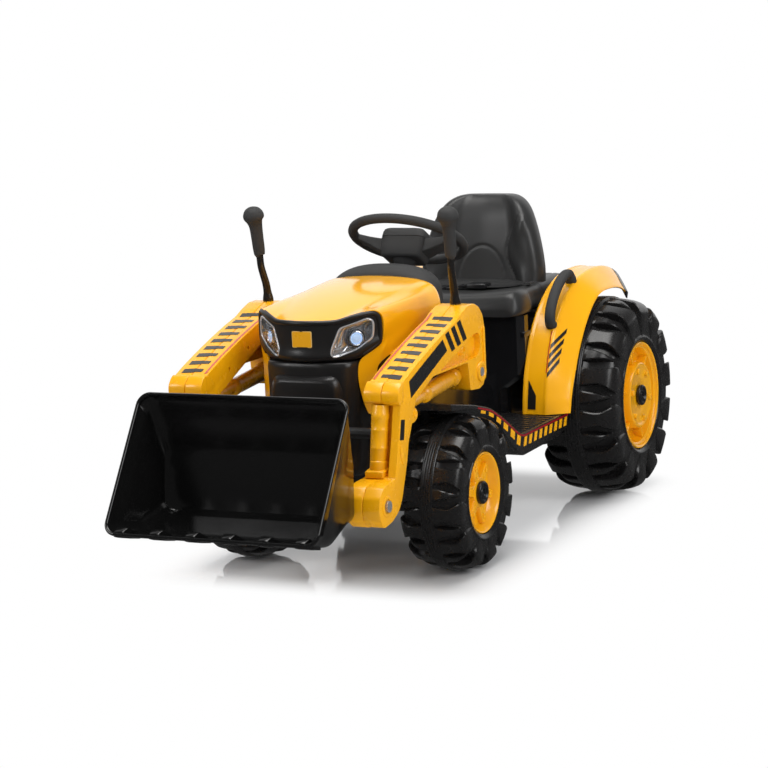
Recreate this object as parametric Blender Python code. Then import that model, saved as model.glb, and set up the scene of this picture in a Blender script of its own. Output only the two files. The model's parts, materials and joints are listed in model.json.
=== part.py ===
"""Kids ride-on front-loader tractor: battery driven, moulded plastic shells on steel axles.

It faces -Y, its left is +X and +Z is up. The origin is on the floor, midway between the
bucket's teeth and the rear of the back tyres. Metres.
"""
from math import atan2, cos, pi, radians, sin, sqrt

import bmesh
import bpy
from mathutils import Vector

# Running gear
WHEELBASE = 0.669
FRONT_AXLE_Y = -0.165
REAR_AXLE_Y = FRONT_AXLE_Y + WHEELBASE
REAR_TYRE_R = 0.190
REAR_TYRE_W = 0.160
REAR_TRACK_X = 0.221
REAR_RIM_R = 0.103
REAR_BLOCKS = 14
FRONT_TYRE_R = 0.134
FRONT_TYRE_W = 0.115
FRONT_TRACK_X = 0.1945
FRONT_RIM_R = 0.070
FRONT_BLOCKS = 12
RIDGE_W = 0.030
AXLE_R = 0.006
HUB_CAP_R = 0.019
GAP = 0.0004
BORE_CLEARANCE = 0.0008

# Steering
KINGPIN_X = 0.120
KINGPIN_R = 0.004
KNUCKLE_H = 0.058
FORK_PLATE = 0.007
STEERING_ARM = 0.045
WHEEL_TILT = radians(28.0)
WHEEL_HUB_Y = FRONT_AXLE_Y + 0.268
WHEEL_HUB_Z = 0.533
WHEEL_RIM_R = 0.101
WHEEL_TUBE_R = 0.009
SHAFT_R = 0.006
CRANK = 0.0218
TIE_ROD_Z = 0.090
TIE_ROD_T = 0.008

# Body and hood
WALL = 0.004
TUNNEL_HALF = 0.096
SPINE_HALF = 0.080
TUNNEL_TOP = 0.262
BELLY = 0.125
SEAT_BOX_FRONT = REAR_AXLE_Y - 0.239
SEAT_BOX_HALF = 0.150
SEAT_BOX_BETWEEN_TYRES = 0.134
SEAT_BOX_TOP = 0.372
BODY_REAR = REAR_AXLE_Y + 0.105
NOSE_Y = FRONT_AXLE_Y - 0.172
NOSE_CURVE = 5.4
HOOD_HALF = 0.120
HOOD_REAR = FRONT_AXLE_Y + 0.132
HOOD_TOP_FRONT = 0.446
HOOD_TOP_REAR = 0.484
COWL_INSET = 0.0055
INNER_FRONT = FRONT_AXLE_Y - 0.085
DASH_REAR = FRONT_AXLE_Y + 0.256
DASH_TOP = 0.501

# Loader
ARM_IN = SEAT_BOX_HALF
ARM_OUT = ARM_IN + 0.060
ARM_MID = (ARM_IN + ARM_OUT) / 2
LIFT_Y = FRONT_AXLE_Y + 0.087
LIFT_Z = 0.326
LIFT_ROD_R = 0.008
BUCKET_Y = FRONT_AXLE_Y - 0.311
BUCKET_Z = 0.173
BUCKET_ROD_R = 0.006
BUCKET_HALF = 0.190
BUCKET_WALL = 0.005
BUCKET_TEETH = 6
LUG_T = 0.014

# Seat, footboards and fenders
SEAT_TOP = 0.413
SEAT_HALF = SEAT_BOX_HALF
SEAT_BACK_TOP = 0.578
BOARD_IN = TUNNEL_HALF + GAP
BOARD_OUT = 0.222
BOARD_TOP = 0.190
RIB_RISE = 0.0018
FENDER_IN = SEAT_BOX_HALF + GAP
FENDER_CREASE = 0.200
FENDER_OUT = 0.235
FENDER_WALL = 0.0045
HANDLE_X = 0.188
HANDLE_R = 0.0085

SIDES = (("left", 1), ("right", -1))


def clear_scene():
    for item in list(bpy.data.objects):
        bpy.data.objects.remove(item, do_unlink=True)


def finish_of(name, colour, roughness, metallic=0.0):
    made = bpy.data.materials.get(name)
    if made:
        return made
    made = bpy.data.materials.new(name)
    made.use_nodes = True
    shader = made.node_tree.nodes["Principled BSDF"]
    shader.inputs["Base Color"].default_value = (*colour, 1.0)
    shader.inputs["Roughness"].default_value = roughness
    shader.inputs["Metallic"].default_value = metallic
    return made


def yellow():
    return finish_of("yellow_plastic", (0.90, 0.47, 0.01), 0.25)


def black(name="black_plastic", roughness=0.35):
    return finish_of(name, (0.02, 0.02, 0.02), roughness)


def steel():
    return finish_of("zinc_steel", (0.62, 0.62, 0.64), 0.3, 1.0)


def put(name, shape, look, pivot=(0, 0, 0), bevel=0.0, smooth=35, sharper=32):
    """Turns a bmesh in world coordinates into a named object with its origin at the pivot."""
    pivot = Vector(pivot)
    bmesh.ops.remove_doubles(shape, verts=shape.verts, dist=1e-6)
    bmesh.ops.recalc_face_normals(shape, faces=shape.faces)
    bmesh.ops.translate(shape, vec=-pivot, verts=shape.verts)
    mesh = bpy.data.meshes.new(name)
    shape.to_mesh(mesh)
    shape.free()
    mesh.materials.append(look)
    mesh.shade_smooth()
    mesh.set_sharp_from_angle(angle=radians(smooth))
    thing = bpy.data.objects.new(name, mesh)
    thing.location = pivot
    bpy.context.scene.collection.objects.link(thing)
    if bevel:
        edge = thing.modifiers.new("edges", "BEVEL")
        edge.width = bevel
        edge.segments = 1
        edge.limit_method = "ANGLE"
        edge.angle_limit = radians(sharper)
        bake(thing)
    return thing


def bake(thing):
    """Replaces an object's mesh with what its modifiers make of it."""
    bpy.context.view_layer.update()
    shown = thing.evaluated_get(bpy.context.evaluated_depsgraph_get())
    mesh = bpy.data.meshes.new_from_object(shown)
    thing.modifiers.clear()
    thing.data = mesh
    mesh.name = thing.name


def combine(thing, shape, operation):
    """Adds a bmesh in world coordinates to an object, or cuts it out."""
    tool = put("tool", shape, yellow())
    step = thing.modifiers.new(operation.lower(), "BOOLEAN")
    step.operation = operation
    step.solver = "EXACT"
    step.object = tool
    bake(thing)
    bpy.data.objects.remove(tool, do_unlink=True)


def cut(thing, shape):
    combine(thing, shape, "DIFFERENCE")


def join(thing, shape):
    combine(thing, shape, "UNION")


def loft(rings):
    """A closed solid through rings of equal length, with a flat cap on each end."""
    shape = bmesh.new()
    rows = [[shape.verts.new(point) for point in ring] for ring in rings]
    count = len(rows[0])
    for row, following in zip(rows, rows[1:]):
        for i in range(count):
            j = (i + 1) % count
            shape.faces.new((row[i], row[j], following[j], following[i]))
    shape.faces.new(rows[0][::-1])
    shape.faces.new(rows[-1])
    return shape


def plate(outline, x_from, x_to):
    """An outline of (y, z) points, extruded along X."""
    return loft([[(x, y, z) for y, z in outline] for x in (x_from, x_to)])


def facing(outline, y_from, y_to):
    """An outline of (x, z) points, extruded along Y."""
    return loft([[(x, y, z) for x, z in outline] for y in (y_from, y_to)])


def box(x, y, z):
    return plate([(y[0], z[0]), (y[1], z[0]), (y[1], z[1]), (y[0], z[1])], *x)


def frame_along(direction):
    """Two unit vectors across a direction."""
    direction = Vector(direction).normalized()
    across = Vector((1, 0, 0)) if abs(direction.x) < 0.9 else Vector((0, 1, 0))
    across = (across - direction * across.dot(direction)).normalized()
    return across, direction.cross(across)


def turned(start, direction, profile, sides=20):
    """A solid of revolution. The profile is (distance along, radius) pairs, both ends closed."""
    start, direction = Vector(start), Vector(direction).normalized()
    across, other = frame_along(direction)
    rings = []
    for along, radius in profile:
        centre = start + direction * along
        rings.append([centre + (across * cos(a) + other * sin(a)) * radius
                      for a in (2 * pi * i / sides for i in range(sides))])
    return loft(rings)


def rod(start, end, radius, sides=12):
    start, end = Vector(start), Vector(end)
    return turned(start, end - start, [(0, radius), ((end - start).length, radius)], sides)


def tube(path, radii, sides=8, flatten=1.0):
    """A round bar through points of a path in a plane of constant X."""
    path = [Vector(point) for point in path]
    rings = []
    for i, point in enumerate(path):
        ahead = path[min(i + 1, len(path) - 1)] - path[max(i - 1, 0)]
        normal = Vector((1, 0, 0)).cross(ahead).normalized()
        radius = radii[i] if isinstance(radii, (list, tuple)) else radii
        rings.append([point + (Vector((1, 0, 0)) * cos(a) * flatten + normal * sin(a)) * radius
                      for a in (2 * pi * (k + 0.5) / sides for k in range(sides))])
    return loft(rings)


def smooth_path(points, steps):
    """Points of a Catmull-Rom curve through the given ones."""
    points = [Vector(point) for point in points]
    ends = [2 * points[0] - points[1]] + points + [2 * points[-1] - points[-2]]
    curve = []
    for i in range(len(points) - 1):
        a, b, c, d = ends[i:i + 4]
        for k in range(steps):
            t = k / steps
            curve.append(0.5 * (2 * b + (c - a) * t + (2 * a - 5 * b + 4 * c - d) * t * t
                                + (3 * b - a - 3 * c + d) * t ** 3))
    return curve + [points[-1]]


def off_axle(pairs, base_y):
    """(y, z) pairs measured from an axle's y."""
    return [(base_y + y, z) for y, z in pairs]


# Wheels

LUG_STEPS = (0.0, 0.38, 0.5, 0.88)


def tyre_facet(blocks):
    """Half the angle of the facet that a tyre stands on."""
    return pi / blocks * LUG_STEPS[1]


REAR_AXLE_Z = REAR_TYRE_R * cos(tyre_facet(REAR_BLOCKS))
FRONT_AXLE_Z = FRONT_TYRE_R * cos(tyre_facet(FRONT_BLOCKS))


def tyre_section(radius, width, bore, lug_near, lug_far):
    """The section's (offset, radius) points, from the bore's one edge over the tread to the other."""
    def half(lug):
        lowered = 0.0 if lug else 1.0
        return [
            (width / 2 - 0.006, bore),
            (width / 2 - 0.007 * lowered, radius - 0.040),
            (width / 2 - 0.004 - 0.008 * lowered, radius - 0.012 - 0.022 * lowered),
            (RIDGE_W / 2 + 0.002, radius - 0.004 - 0.013 * lowered),
            (RIDGE_W / 2, radius),
        ]
    near = [(-offset, r) for offset, r in half(lug_near)]
    far = half(lug_far)
    return near + far[::-1]


def tyre(name, centre, radius, width, rim_r, blocks, side):
    """A hollow tyre with a plain centre ridge and blocks that alternate on its two sides."""
    shape = bmesh.new()
    start = -pi / 2 - tyre_facet(blocks)
    columns = []
    for block in range(blocks):
        for step, part in enumerate(LUG_STEPS):
            angle = start + 2 * pi * (block + part) / blocks
            section = tyre_section(radius, width, rim_r + 2 * GAP, step < 2, step >= 2)
            columns.append([shape.verts.new((centre[0] + side * x, centre[1] + r * cos(angle),
                                             centre[2] + r * sin(angle))) for x, r in section])
    for i, column in enumerate(columns):
        following = columns[(i + 1) % len(columns)]
        for k in range(len(column)):
            m = (k + 1) % len(column)
            shape.faces.new((column[k], column[m], following[m], following[k]))
    return put(name, shape, black("tyre_plastic", 0.45), centre, smooth=25)


def rim_faces(track, width):
    """X of a rim's inner and outer faces."""
    return track - width / 2 + 0.014, track + width / 2 - 0.006


def wheel(place, word, side, y, z, track, width, radius, rim_r, blocks, dish, windows):
    """Tyre, dished rim and hub cap of one wheel, all turning on the same axle line."""
    centre = (side * track, y, z)
    inner, outer = rim_faces(track, width)
    tyre(f"{place}_tyre_{word}", centre, radius, width, rim_r, blocks, side)
    bore = AXLE_R + BORE_CLEARANCE
    depth = outer - inner
    disc = HUB_CAP_R + 0.008
    profile = [(0, rim_r - 0.008), (0.004, rim_r), (depth, rim_r), (depth, rim_r - 0.006),
               (depth - dish, rim_r - 0.013), (depth - dish, disc + 0.004),
               (depth - dish + 0.006, disc)]
    rim = put(f"{place}_rim_{word}", turned((side * inner, y, z), (side, 0, 0), profile),
              yellow(), centre)
    spoke = (rim_r - 0.013 + disc) / 2
    for k in range(windows):
        angle = 2 * pi * (k + 0.5) / windows
        spot = Vector((0, y + spoke * cos(angle), z + spoke * sin(angle)))
        across = (rim_r - 0.013 - disc) / 2 - 0.003
        if place == "front":
            cut(rim, rod(spot + Vector((side * (outer - dish - 0.012), 0, 0)),
                         spot + Vector((side * (outer + 0.01), 0, 0)), across, 4))
        else:
            join(rim, turned(spot + Vector((side * (outer - dish - 0.002), 0, 0)), (side, 0, 0),
                             [(0, 0.009), (0.008, 0.007)], 6))
    cut(rim, rod((side * (inner - 0.01), y, z), (side * (outer + 0.01), y, z), bore, 12))
    cap_at = outer - dish + 0.006 + GAP
    put(f"{place}_hub_cap_{word}",
        turned((side * cap_at, y, z), (side, 0, 0),
               [(0, HUB_CAP_R), (0.004, HUB_CAP_R), (0.008, HUB_CAP_R - 0.003),
                (0.006, 0.009)], 12),
        black("black_trim", 0.3), centre)
    return cap_at


def wheels():
    for word, side in SIDES:
        wheel("rear", word, side, REAR_AXLE_Y, REAR_AXLE_Z, REAR_TRACK_X, REAR_TYRE_W,
              REAR_TYRE_R, REAR_RIM_R, REAR_BLOCKS, 0.020, 6)
        wheel("front", word, side, FRONT_AXLE_Y, FRONT_AXLE_Z, FRONT_TRACK_X, FRONT_TYRE_W,
              FRONT_TYRE_R, FRONT_RIM_R, FRONT_BLOCKS, 0.014, 6)


def rear_axle():
    _, outer = rim_faces(REAR_TRACK_X, REAR_TYRE_W)
    reach = outer - 0.014 - GAP
    put("rear_axle", rod((-reach, REAR_AXLE_Y, REAR_AXLE_Z), (reach, REAR_AXLE_Y, REAR_AXLE_Z),
                         AXLE_R), steel(), (0, REAR_AXLE_Y, REAR_AXLE_Z))


# Front axle and steering

KNUCKLE_LOW = FRONT_AXLE_Z - KNUCKLE_H / 2
KNUCKLE_HIGH = FRONT_AXLE_Z + KNUCKLE_H / 2
SHAFT_AXIS = Vector((0, sin(WHEEL_TILT), cos(WHEEL_TILT)))
WHEEL_HUB = Vector((0, WHEEL_HUB_Y, WHEEL_HUB_Z))


def front_axle_beam():
    """A channel bar bolted under the spine, with a forked end for each kingpin."""
    y = FRONT_AXLE_Y
    top = KNUCKLE_HIGH + GAP
    bottom = KNUCKLE_LOW - GAP
    root = KINGPIN_X - 0.016
    tip = KINGPIN_X + 0.011
    outline = [(-tip, top + FORK_PLATE), (-tip, top), (-root, top), (-root, bottom),
               (-tip, bottom), (-tip, bottom - FORK_PLATE),
               (tip, bottom - FORK_PLATE), (tip, bottom), (root, bottom), (root, top),
               (tip, top), (tip, top + FORK_PLATE)]
    beam = put("front_axle_beam", facing(outline, y - 0.016, y + 0.016),
               black("black_frame", 0.45))
    hollow = [(-root + 0.010, top - 0.006), (-root + 0.010, bottom + 0.006),
              (root - 0.010, bottom + 0.006), (root - 0.010, top - 0.006)]
    cut(beam, facing(hollow, y + 0.004, y + 0.020))
    cut(beam, facing(hollow, y - 0.020, y - 0.004))
    for _, side in SIDES:
        x = side * KINGPIN_X
        cut(beam, rod((x, y, bottom - 0.02), (x, y, top + 0.02), KINGPIN_R + BORE_CLEARANCE))


def knuckle(word, side):
    """Kingpin, barrel, stub axle and steering arm in one casting."""
    x, y, z = side * KINGPIN_X, FRONT_AXLE_Y, FRONT_AXLE_Z
    _, outer = rim_faces(FRONT_TRACK_X, FRONT_TYRE_W)
    reach = outer - 0.008 - GAP
    pin_end = FORK_PLATE + 0.004
    casting = put(f"knuckle_{word}",
                  turned((x, y, KNUCKLE_LOW - pin_end), (0, 0, 1),
                         [(0, KINGPIN_R), (pin_end, KINGPIN_R), (pin_end, 0.010),
                          (pin_end + KNUCKLE_H, 0.010), (pin_end + KNUCKLE_H, KINGPIN_R),
                          (2 * pin_end + KNUCKLE_H, KINGPIN_R)], 8),
                  steel(), (x, y, z))
    join(casting, rod((x, y, z), (side * reach, y, z), AXLE_R, 8))
    arm_z = TIE_ROD_Z + TIE_ROD_T / 2 + 0.002
    join(casting, box(sorted((x - 0.006, x + 0.006)), (y + 0.004, y + STEERING_ARM + 0.007),
                      (KNUCKLE_LOW + 0.0005, KNUCKLE_LOW + 0.0065)))
    join(casting, rod((x, y + STEERING_ARM, TIE_ROD_Z - TIE_ROD_T / 2 - 0.002),
                      (x, y + STEERING_ARM, max(arm_z, KNUCKLE_LOW + 0.004)), 0.003, 8))


def shaft_point(along):
    """A point on the steering column, measured down from the wheel's hub."""
    return WHEEL_HUB - SHAFT_AXIS * along


SHAFT_END = (WHEEL_HUB_Z - TIE_ROD_Z - CRANK * sin(WHEEL_TILT)) / cos(WHEEL_TILT)
CRANK_PIN = shaft_point(SHAFT_END) + Vector((0, cos(WHEEL_TILT), -sin(WHEEL_TILT))) * CRANK


def steering_shaft():
    """A steel rod with a welded crank, whose pin works in the tie rod's slot."""
    top = shaft_point(0.030)
    shaft = put("steering_shaft", rod(shaft_point(SHAFT_END), top, SHAFT_R), steel(), WHEEL_HUB)
    end = shaft_point(SHAFT_END)
    web = (CRANK_PIN - end).normalized()
    corners = []
    for lift in (0.012, 0.018):
        ring = []
        for across, along in ((-0.006, -0.008), (0.006, -0.008), (0.006, CRANK + 0.006),
                              (-0.006, CRANK + 0.006)):
            ring.append(end + SHAFT_AXIS * lift + web * along + Vector((across, 0, 0)))
        corners.append(ring)
    join(shaft, loft(corners))
    join(shaft, rod(CRANK_PIN - SHAFT_AXIS * 0.007, CRANK_PIN + SHAFT_AXIS * 0.015, 0.0035, 8))


def slot(x, y, half_x, half_y):
    low, high = TIE_ROD_Z - TIE_ROD_T, TIE_ROD_Z + TIE_ROD_T
    return box((x - half_x, x + half_x), (y - half_y, y + half_y), (low, high))


def tie_rod():
    """A flat bar with a slot for each steering arm's pin and a tongue for the crank's pin."""
    y = FRONT_AXLE_Y + STEERING_ARM
    z = (TIE_ROD_Z - TIE_ROD_T / 2, TIE_ROD_Z + TIE_ROD_T / 2)
    bar = put("tie_rod", box((-KINGPIN_X - 0.011, KINGPIN_X + 0.011), (y - 0.011, y + 0.011), z),
              steel(), (0, y, TIE_ROD_Z))
    join(bar, box((-0.012, 0.012), (y, CRANK_PIN.y + 0.018), z))
    for _, side in SIDES:
        cut(bar, slot(side * KINGPIN_X, y, 0.0037, 0.0065))
    cut(bar, slot(0, CRANK_PIN.y, 0.0044, 0.0095))


def steering_wheel():
    """A thick rim on two flat spokes, with a box-shaped hub pad and a cone below it."""
    across, other = frame_along(SHAFT_AXIS)
    shape = bmesh.new()
    steps, sides = 22, 6
    rows = []
    for i in range(steps):
        a = 2 * pi * i / steps
        out = across * cos(a) + other * sin(a)
        rows.append([shape.verts.new(WHEEL_HUB + out * (WHEEL_RIM_R + WHEEL_TUBE_R * cos(b))
                                     + SHAFT_AXIS * WHEEL_TUBE_R * sin(b))
                     for b in (2 * pi * k / sides for k in range(sides))])
    for i, row in enumerate(rows):
        following = rows[(i + 1) % steps]
        for k in range(sides):
            m = (k + 1) % sides
            shape.faces.new((row[k], row[m], following[m], following[k]))
    wheel_solid = put("steering_wheel", shape, black("soft_black", 0.55), WHEEL_HUB)
    down = other if other.z < 0 else -other

    def slab(half_x, half_down, low, high, shift=0.0):
        ring = ((-half_x, -half_down), (half_x, -half_down), (half_x, half_down),
                (-half_x, half_down))
        return loft([[WHEEL_HUB + SHAFT_AXIS * lift + across * u * grow + down * (v * grow + shift)
                      for u, v in ring] for lift, grow in ((low, 0.86), (low + 0.006, 1.0), (high, 0.9))])

    join(wheel_solid, slab(WHEEL_RIM_R, 0.017, -0.007, 0.005))
    join(wheel_solid, slab(0.042, 0.030, -0.024, 0.013))
    join(wheel_solid, turned(WHEEL_HUB - SHAFT_AXIS * 0.040, SHAFT_AXIS,
                             [(0, 0.014), (0.024, 0.022)], 16))
    cut(wheel_solid, rod(shaft_point(0.045), shaft_point(0.030 - 0.001), SHAFT_R + GAP))
    cut(wheel_solid, rod(WHEEL_HUB + SHAFT_AXIS * 0.005, WHEEL_HUB + SHAFT_AXIS * 0.020,
                         0.0155, 16))
    put("horn_button",
        turned(WHEEL_HUB + SHAFT_AXIS * 0.0085, SHAFT_AXIS,
               [(0, 0.0145), (0.006, 0.0145), (0.0085, 0.011)], 16),
        yellow(), WHEEL_HUB)


# Body

def nose(x, inset=0.0):
    """Y of the rounded nose at a distance from the centre line."""
    return NOSE_Y + NOSE_CURVE * x * x + inset


def hood_top(y):
    part = (y - NOSE_Y) / (HOOD_REAR - NOSE_Y)
    return HOOD_TOP_FRONT + (HOOD_TOP_REAR - HOOD_TOP_FRONT) * (1 - (1 - part) ** 2)


def body_tub():
    """The moulded body: spine, tunnel and an open seat box that holds the battery."""
    bottom = KNUCKLE_HIGH + FORK_PLATE + 2 * GAP
    rear = FRONT_AXLE_Y + 0.160
    spine = [(INNER_FRONT, bottom), (rear, bottom), (rear, 0.300), (INNER_FRONT, 0.300)]
    tub = put("body_tub", plate(spine, -SPINE_HALF, SPINE_HALF), black())
    rear = FRONT_AXLE_Y + 0.200
    upper = [(INNER_FRONT, 0.274), (rear, 0.250), (rear, 0.372), (rear + 0.027, 0.396),
             (rear + 0.027, 0.424), (INNER_FRONT + 0.025, 0.424),
             (INNER_FRONT, 0.400)]
    half = TUNNEL_HALF
    join(tub, plate(upper, -half, half))
    tunnel = [(FRONT_AXLE_Y + 0.150, BELLY + 0.046), (SEAT_BOX_FRONT + 0.01, BELLY),
              (SEAT_BOX_FRONT + 0.01, TUNNEL_TOP), (FRONT_AXLE_Y + 0.190, TUNNEL_TOP + 0.012),
              (FRONT_AXLE_Y + 0.150, TUNNEL_TOP + 0.030)]
    join(tub, plate(tunnel, -TUNNEL_HALF, TUNNEL_HALF))
    front, wide, rear = SEAT_BOX_FRONT, SEAT_BOX_HALF, BODY_REAR
    step = REAR_AXLE_Y - REAR_TYRE_R - 0.014
    narrow = SEAT_BOX_BETWEEN_TYRES
    corner = 0.012
    plan = [(front, wide - corner), (front + corner, wide), (step - corner / 2, wide),
            (step, narrow), (rear - corner, narrow), (rear, narrow - corner)]
    ring = [(x, y) for y, x in plan] + [(-x, y) for y, x in plan[::-1]]
    levels = ((BELLY, 0.70, 0.050), (0.150, 0.74, 0.020), (0.235, 0.74, 0.004),
              (0.262, 1.0, 0.000), (SEAT_BOX_TOP - 0.030, 1.0, 0.000), (SEAT_BOX_TOP, 1.0, 0.012))
    join(tub, loft([[(x * shrink, y - (tuck if y > rear - 2 * corner else 0.0), z) for x, y in ring]
                    for z, shrink, tuck in levels]))
    cut(tub, box((-0.110, 0.110), (front + 0.012, BODY_REAR - 0.070), (0.270, 0.42)))
    cut(tub, box((-0.085, 0.085), (front + 0.016, BODY_REAR - 0.090), (BELLY + 0.010, 0.30)))
    for _, side in SIDES:
        join(tub, rod((side * (half - 0.004), LIFT_Y, LIFT_Z),
                      (side * (ARM_IN - 0.001), LIFT_Y, LIFT_Z), 0.022, 12))
    cut(tub, rod((-0.2, LIFT_Y, LIFT_Z), (0.2, LIFT_Y, LIFT_Z), LIFT_ROD_R + GAP))
    cut(tub, rod((-0.2, REAR_AXLE_Y, REAR_AXLE_Z), (0.2, REAR_AXLE_Y, REAR_AXLE_Z),
                 AXLE_R + BORE_CLEARANCE))
    cut(tub, rod(shaft_point(0.0), shaft_point(SHAFT_END), SHAFT_R + 0.002))
    return tub


def battery():
    """A sealed 12-volt battery on the seat box's floor."""
    floor = BELLY + 0.010 + GAP
    y = SEAT_BOX_FRONT + 0.030
    case = put("battery", box((-0.075, 0.075), (y, y + 0.098), (floor, floor + 0.095)),
               finish_of("battery_case", (0.10, 0.10, 0.11), 0.5), bevel=0.004)
    for x in (-0.045, 0.045):
        join(case, box((x - 0.006, x + 0.006), (y + 0.018, y + 0.030),
                       (floor + 0.090, floor + 0.103)))


def gearbox(word, side):
    """A motor and its reduction gears in one case, hung on the axle beside the wheel."""
    tub_side = SEAT_BOX_BETWEEN_TYRES * 0.74
    inner = tub_side + 0.004
    outer = rim_faces(REAR_TRACK_X, REAR_TYRE_W)[0] - 0.018
    centre = (REAR_AXLE_Y, REAR_AXLE_Z)
    motor = (REAR_AXLE_Y - 0.072, REAR_AXLE_Z + 0.004)
    outline = []
    for (cy, cz), r, start, end in ((centre, 0.034, -90, 90), (motor, 0.030, 90, 270)):
        for k in range(5):
            a = radians(start + (end - start) * k / 4)
            outline.append((cy + r * cos(a), cz + r * sin(a)))
    case = put(f"gearbox_{word}", plate(outline, *sorted((side * inner, side * outer))),
               black("gear_case", 0.5))
    hub = rim_faces(REAR_TRACK_X, REAR_TYRE_W)[0] - GAP
    join(case, rod((side * (outer - 0.004), *centre), (side * hub, *centre), 0.014, 12))
    join(case, rod((side * (inner + 0.004), *centre), (side * (tub_side + GAP), *centre), 0.014, 12))
    cut(case, rod((side * 0.05, *centre), (side * 0.2, *centre), AXLE_R + BORE_CLEARANCE))


def hood_stations():
    """Y, half width and lower edge of the hood's cross-sections, front to rear."""
    edge = FRONT_AXLE_Y - 0.109
    corner = NOSE_Y + NOSE_CURVE * HOOD_HALF ** 2
    tusk = 0.283
    for x in (0.016, 0.040, 0.062, 0.084, 0.098):
        yield nose(x), x, tusk
    yield edge - 0.0005, sqrt((edge - 0.0005 - NOSE_Y) / NOSE_CURVE), tusk
    yield edge + 0.0005, sqrt((edge + 0.0005 - NOSE_Y) / NOSE_CURVE), 0.361
    yield corner, HOOD_HALF, 0.377
    yield FRONT_AXLE_Y - 0.030, HOOD_HALF, 0.390
    yield FRONT_AXLE_Y + 0.050, HOOD_HALF, 0.408
    yield HOOD_REAR, HOOD_HALF, 0.426


def bezel_outline(grow=0.0):
    """Half of the opening in the hood's front, as (x, z) from its top middle downwards."""
    return [(0.059, 0.4445 + grow), (0.101 + grow / 2, 0.458 + grow), (0.112 + grow, 0.449 + grow),
            (0.1150 + grow, 0.433), (0.114 + grow, 0.402), (0.084 + grow, 0.3765),
            (0.082 + grow, 0.352), (0.088 + grow, 0.315), (0.095 + grow, 0.270)]


def hood():
    """A one-piece shell with a notched front opening and a cheek down each side of the nose."""
    rings = []
    for y, half, low in hood_stations():
        top = hood_top(y)
        shoulder = top - 0.030
        outer = [(half, low), (half, shoulder), (half * 0.84, top - 0.010), (half * 0.42, top - 0.002)]
        inner = [(max(x - WALL, 0.004), z - (WALL if z > shoulder else 0.0)) for x, z in outer]
        inner[1] = (max(half - WALL, 0.004), shoulder - 0.001)
        outside = [(x, y, z) for x, z in outer] + [(-x, y, z) for x, z in outer[::-1]]
        inside = [(-x, y, z) for x, z in inner] + [(x, y, z) for x, z in inner[::-1]]
        rings.append(outside + inside)
    shell = put("hood", loft(rings), yellow(), smooth=50)
    half = bezel_outline()
    opening = half + [(-x, z) for x, z in half[::-1]]
    cut(shell, facing(opening, NOSE_Y - 0.05, nose(HOOD_HALF) - 0.0005))


def lamp_outline(side, shrink=1.0):
    """One headlamp's outline as (x, z), scaled about its middle."""
    points = [(0.060, 0.433), (0.100, 0.447), (0.1065, 0.440), (0.105, 0.413),
              (0.085, 0.395), (0.055, 0.3825), (0.047, 0.385), (0.047, 0.395)]
    cx, cz = 0.078, 0.415
    return [(side * (cx + (x - cx) * shrink), cz + (z - cz) * shrink) for x, z in points]


def grille_panel():
    """The curved black mask that fills the hood's opening and carries both lamps."""
    rings = []
    low = 0.3770
    columns = ((-0.1136, 0.408, 0.4325), (-0.1112, 0.402, 0.4482), (-0.101, 0.393, 0.4570),
               (-0.0836, low, 0.4516), (-0.0700, low, 0.4473), (-0.059, low, 0.4438),
               (-0.036, low, 0.4438), (-0.012, low, 0.4438))
    for x, low, high in columns + tuple((-x, low, high) for x, low, high in columns[::-1]):
        front, back = nose(x, -0.003), nose(x, 0.007)
        rings.append([(x, front, low), (x, front, high), (x, back, high), (x, back, low)])
    panel = put("grille_panel", loft(rings), black("black_mask", 0.4))
    for _, side in SIDES:
        cut(panel, facing(lamp_outline(side), NOSE_Y - 0.05, NOSE_Y + 0.12))


def headlamp(word, side):
    """A chrome reflector bowl with a clear lens on its front, both let into the mask."""
    near, far = 0.047, 0.1065
    slope = (nose(far) - nose(near)) / (far - near)

    def ring(shrink, inset):
        return [(x, nose(near) + slope * (abs(x) - near) + inset, z)
                for x, z in lamp_outline(side, shrink)]

    fit = 1 - GAP / 0.015
    put(f"headlamp_bowl_{word}",
        loft([ring(0.86, 0.016), ring(fit, 0.0006 + GAP), ring(0.90, 0.0006 + GAP), ring(0.78, 0.0145)]),
        finish_of("chrome", (0.75, 0.75, 0.76), 0.08, 1.0))
    put(f"headlamp_lens_{word}", loft([ring(fit, -0.0025), ring(fit, 0.0006)]),
        finish_of("clear_lens", (0.9, 0.92, 0.95), 0.05))


def nose_cowl():
    """The black lower nose between the hood's cheeks, with a shallow pocket across it."""
    rings = []
    for z, half in ((0.172, 0.066), (0.200, 0.076), (0.262, 0.083), (0.290, 0.092), (0.3760 - GAP, 0.096)):
        xs = [half * k / 5 for k in range(-5, 6)]
        front = [(x, nose(x, COWL_INSET + 0.10 * max(0.0, 0.23 - z)), z) for x in xs]
        rings.append(front + [(half, INNER_FRONT - GAP, z), (-half, INNER_FRONT - GAP, z)])
    cowl = put("nose_cowl", loft(rings), black("black_mask", 0.4))
    rings = []
    for z, half, tuck in ((0.172, 0.062, 0.012), (0.200, 0.070, 0.004), (0.262, 0.078, 0.0),
                          (0.352, 0.0805, 0.0), (0.3760 - GAP, 0.0805, 0.003)):
        front = [(half, NOSE_Y + 0.048), (half, NOSE_Y + 0.026), (half - 0.004, NOSE_Y + 0.016),
                 (half - 0.018, NOSE_Y + 0.007), (0.034, NOSE_Y + 0.0005)]
        ring = [(x, y + tuck, z) for x, y in front] + [(-x, y + tuck, z) for x, y in front[::-1]]
        rings.append(ring)
    join(cowl, loft(rings))
    cut(cowl, facing([(-0.066, 0.343), (-0.058, 0.352), (0.058, 0.352), (0.066, 0.343), (0.058, 0.225),
                      (-0.058, 0.225)], NOSE_Y - 0.02, NOSE_Y + 0.012))


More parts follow.
